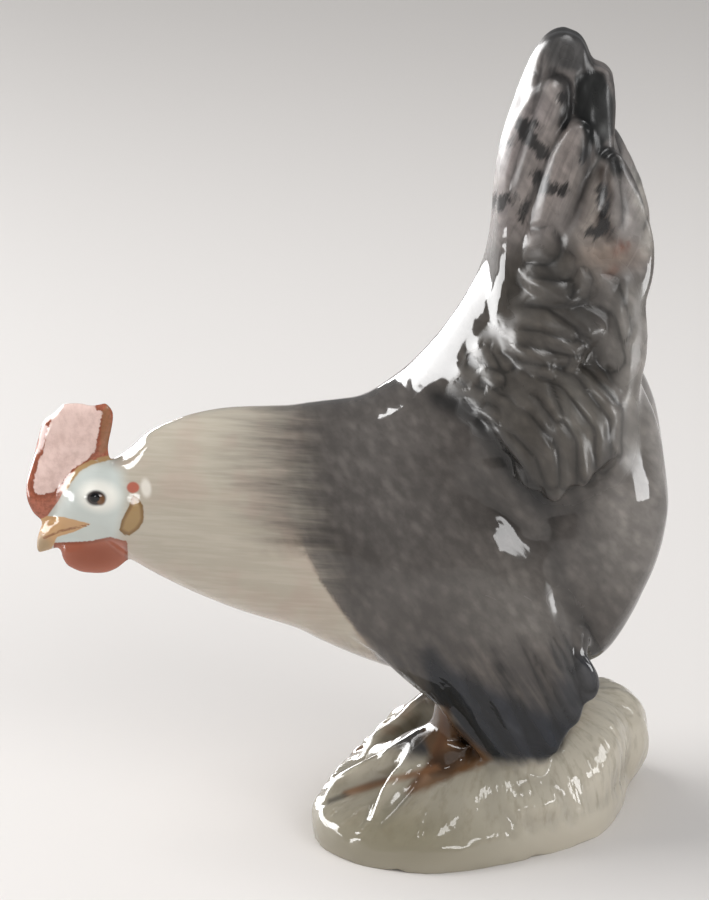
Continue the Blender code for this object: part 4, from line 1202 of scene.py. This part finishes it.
# %% Bump
plume_bump = maths("MULTIPLY", maths("MULTIPLY", cells.outputs["Distance"], -0.35), plumage_mark)
hair_bump = maths("MULTIPLY", fine_hair, maths("MULTIPLY", number("neck"), 0.35))
grass = noise(grass_chart, 0.55, 2.0, 0.5)
grass_bump = maths("MULTIPLY", grass, maths("MULTIPLY", number("grassy"), 2.2))
barb_bump = maths("MULTIPLY", barb, maths("MULTIPLY", number("tail"), 0.15))
seam_bump = maths("MULTIPLY", seam_shade_band, -1.2)
height_sum = maths("ADD", maths("ADD", plume_bump, hair_bump), maths("ADD", grass_bump, barb_bump))
height_sum = maths("ADD", height_sum, seam_bump)
bump = node("ShaderNodeBump")
bump.inputs["Strength"].default_value = 0.35
bump.inputs["Distance"].default_value = 0.0004
links.new(height_sum, bump.inputs["Height"])
links.new(bump.outputs["Normal"], shader.inputs["Normal"])
print("nodes with the bump:", len(nodes))

# %% [markdown]
# ### Gloss
# The clear glaze is nearly a mirror. Among the ruffles it is a little less even, where it ran
# into the cuts, so the roughness rises there. Then the casting takes the place of its node.

# %% Gloss, and the casting in its place
SMOOTH = 0.06
RUFFLE_ROUGHNESS = 0.24
roughness = maths("ADD", maths("MULTIPLY", number("ruffled"), RUFFLE_ROUGHNESS), SMOOTH)
links.new(roughness, shader.inputs["Roughness"])

casting.data.materials.clear()
casting.data.materials.append(glaze)
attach(casting, "root")
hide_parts("hen")
print("nodes in the glaze:", len(nodes))

# %% [markdown]
# ## The floor
# The hen stands on a wide sheet of pale paper. A plane does for the paper, and its colour is
# painted darker with the distance behind the bird: painted shade, as light falls off when the
# lamps stand near the object.

# %% Floor
FLOOR_SIZE = 8.0
bpy.ops.object.select_all(action="DESELECT")
bpy.ops.mesh.primitive_plane_add(size=FLOOR_SIZE, location=(0.0, 2.0, 0.0))
floor = bpy.context.object
floor.name = "floor"
bpy.ops.object.transform_apply(location=True, rotation=True, scale=True)
print("floor, m:", [round(side, 1) for side in floor.dimensions])

# %% [markdown]
# ### Paper
# Paper is matt and hardly mirrors. The near colour changes softly to the far, painted-shade colour
# between a quarter of a metre and nearly a metre behind the bird.

# %% Paper
NEAR_PAPER = (0.80, 0.765, 0.735, 1.0)
FAR_PAPER_SHADE = (0.62, 0.588, 0.558, 1.0)
CHANGE_START = 0.25
CHANGE_END = 0.95
paper = bpy.data.materials.new("paper")
paper.use_nodes = True
paper_shader = paper.node_tree.nodes["Principled BSDF"]
paper_nodes = paper.node_tree.nodes
paper_links = paper.node_tree.links
place = paper_nodes.new("ShaderNodeTexCoord")
parts = paper_nodes.new("ShaderNodeSeparateXYZ")
paper_links.new(place.outputs["Object"], parts.inputs[0])
far = paper_nodes.new("ShaderNodeMapRange")
far.interpolation_type = "SMOOTHSTEP"
far.inputs["From Min"].default_value = CHANGE_START
far.inputs["From Max"].default_value = CHANGE_END
paper_links.new(parts.outputs["Y"], far.inputs["Value"])
shade = paper_nodes.new("ShaderNodeMix")
shade.data_type = "RGBA"
shade.inputs[6].default_value = NEAR_PAPER
shade.inputs[7].default_value = FAR_PAPER_SHADE
paper_links.new(far.outputs["Result"], shade.inputs["Factor"])
paper_links.new(shade.outputs[2], paper_shader.inputs["Base Color"])
paper_shader.inputs["Roughness"].default_value = 0.6
paper_shader.inputs["Specular IOR Level"].default_value = 0.2
floor.data.materials.append(paper)
print("nodes in the paper:", len(paper_nodes))

# %% [markdown]
# ## Light
# A soft box on the left and a weaker one on the right give the even light on the paint.
# What makes porcelain look like porcelain are the windows mirrored in its glaze, so panels stand
# around the hen that only show in mirroring surfaces. That way a highlight can be placed without
# changing the light on the paint.

# %% A soft box
AIM_POINT = Vector((0.0, 0.0, 0.10))


def lamp_panel(name, azimuth, elevation, wide, high, power,
               roll=0.0, distance=1.0, soft=False):
    """A rectangular panel that faces the bird. wide and high are the angles that it fills.

    A soft panel lights the paint, any other one is only mirrored in the glaze.
    """
    data = bpy.data.lights.new(name, "AREA")
    data.shape = "RECTANGLE"
    data.size = 2.0 * distance * math.tan(math.radians(wide) / 2.0)
    data.size_y = 2.0 * distance * math.tan(math.radians(high) / 2.0)
    data.energy = power
    item = bpy.data.objects.new(name, data)
    bpy.context.scene.collection.objects.link(item)
    turn = math.radians(azimuth)
    rise = math.radians(elevation)
    level = math.cos(rise)
    away = Vector((math.sin(turn) * level, -math.cos(turn) * level, math.sin(rise)))
    item.location = AIM_POINT + away * distance
    facing = away.to_track_quat("Z", "Y") @ Quaternion((0.0, 0.0, 1.0), math.radians(roll))
    item.rotation_euler = facing.to_euler()
    item.visible_diffuse = soft
    item.visible_glossy = not soft
    print(name, "size, m:", round(data.size, 2), round(data.size_y, 2))


lamp_panel("key", -104.0, 46.0, 40.0, 40.0, 12.0, distance=1.2, soft=True)
lamp_panel("fill", 40.0, 32.0, 40.0, 40.0, 6.0, distance=1.2, soft=True)

# %% [markdown]
# ### Windows in the glaze
# A broad, slanted window stands behind the bird on its left, for the long highlight down the
# saddle. A low band stands on the left, level with the bird. Small panels on the right and above
# are aimed at the edge of the wing, the rump and the tail.

# %% Windows
lamp_panel("left_window", -136.0, 3.0, 84.0, 32.0, 76.0, roll=36.0, distance=1.3)
lamp_panel("low_band", -90.0, 1.0, 50.0, 10.0, 6.6)
lamp_panel("wing_window", 32.0, 12.0, 17.0, 8.0, 1.1)
lamp_panel("rump_window", 76.0, -6.0, 18.0, 11.0, 0.22, distance=0.35)
lamp_panel("right_window", 96.0, 16.0, 16.0, 18.0, 1.8)
lamp_panel("top_window", 70.0, 74.0, 26.0, 16.0, 3.0)

# %% [markdown]
# ### The room
# The room around is pale and slightly blue. Glaze mirrors it darker than it lights the paint, as
# a room does whose walls are darker than its windows. So one background is for mirroring rays,
# and another for the rest.

# %% World
ROOM_COLOUR = (0.95, 0.97, 1.0, 1.0)
ROOM_LIGHT = 0.46
ROOM_MIRRORED = 0.22
world = bpy.data.worlds.new("studio")
world.use_nodes = True
bpy.context.scene.world = world
world_nodes = world.node_tree.nodes
world_links = world.node_tree.links
room = world_nodes["Background"]
room.inputs["Color"].default_value = ROOM_COLOUR
room.inputs["Strength"].default_value = ROOM_LIGHT
dim_room = world_nodes.new("ShaderNodeBackground")
dim_room.inputs["Color"].default_value = ROOM_COLOUR
dim_room.inputs["Strength"].default_value = ROOM_MIRRORED
ray = world_nodes.new("ShaderNodeLightPath")
choose = world_nodes.new("ShaderNodeMixShader")
world_links.new(ray.outputs["Is Glossy Ray"], choose.inputs["Fac"])
world_links.new(room.outputs["Background"], choose.inputs[1])
world_links.new(dim_room.outputs["Background"], choose.inputs[2])
world_links.new(choose.outputs["Shader"], world_nodes["World Output"].inputs["Surface"])
bpy.context.scene.view_settings.view_transform = "Standard"
print("nodes in the world:", len(world_nodes))
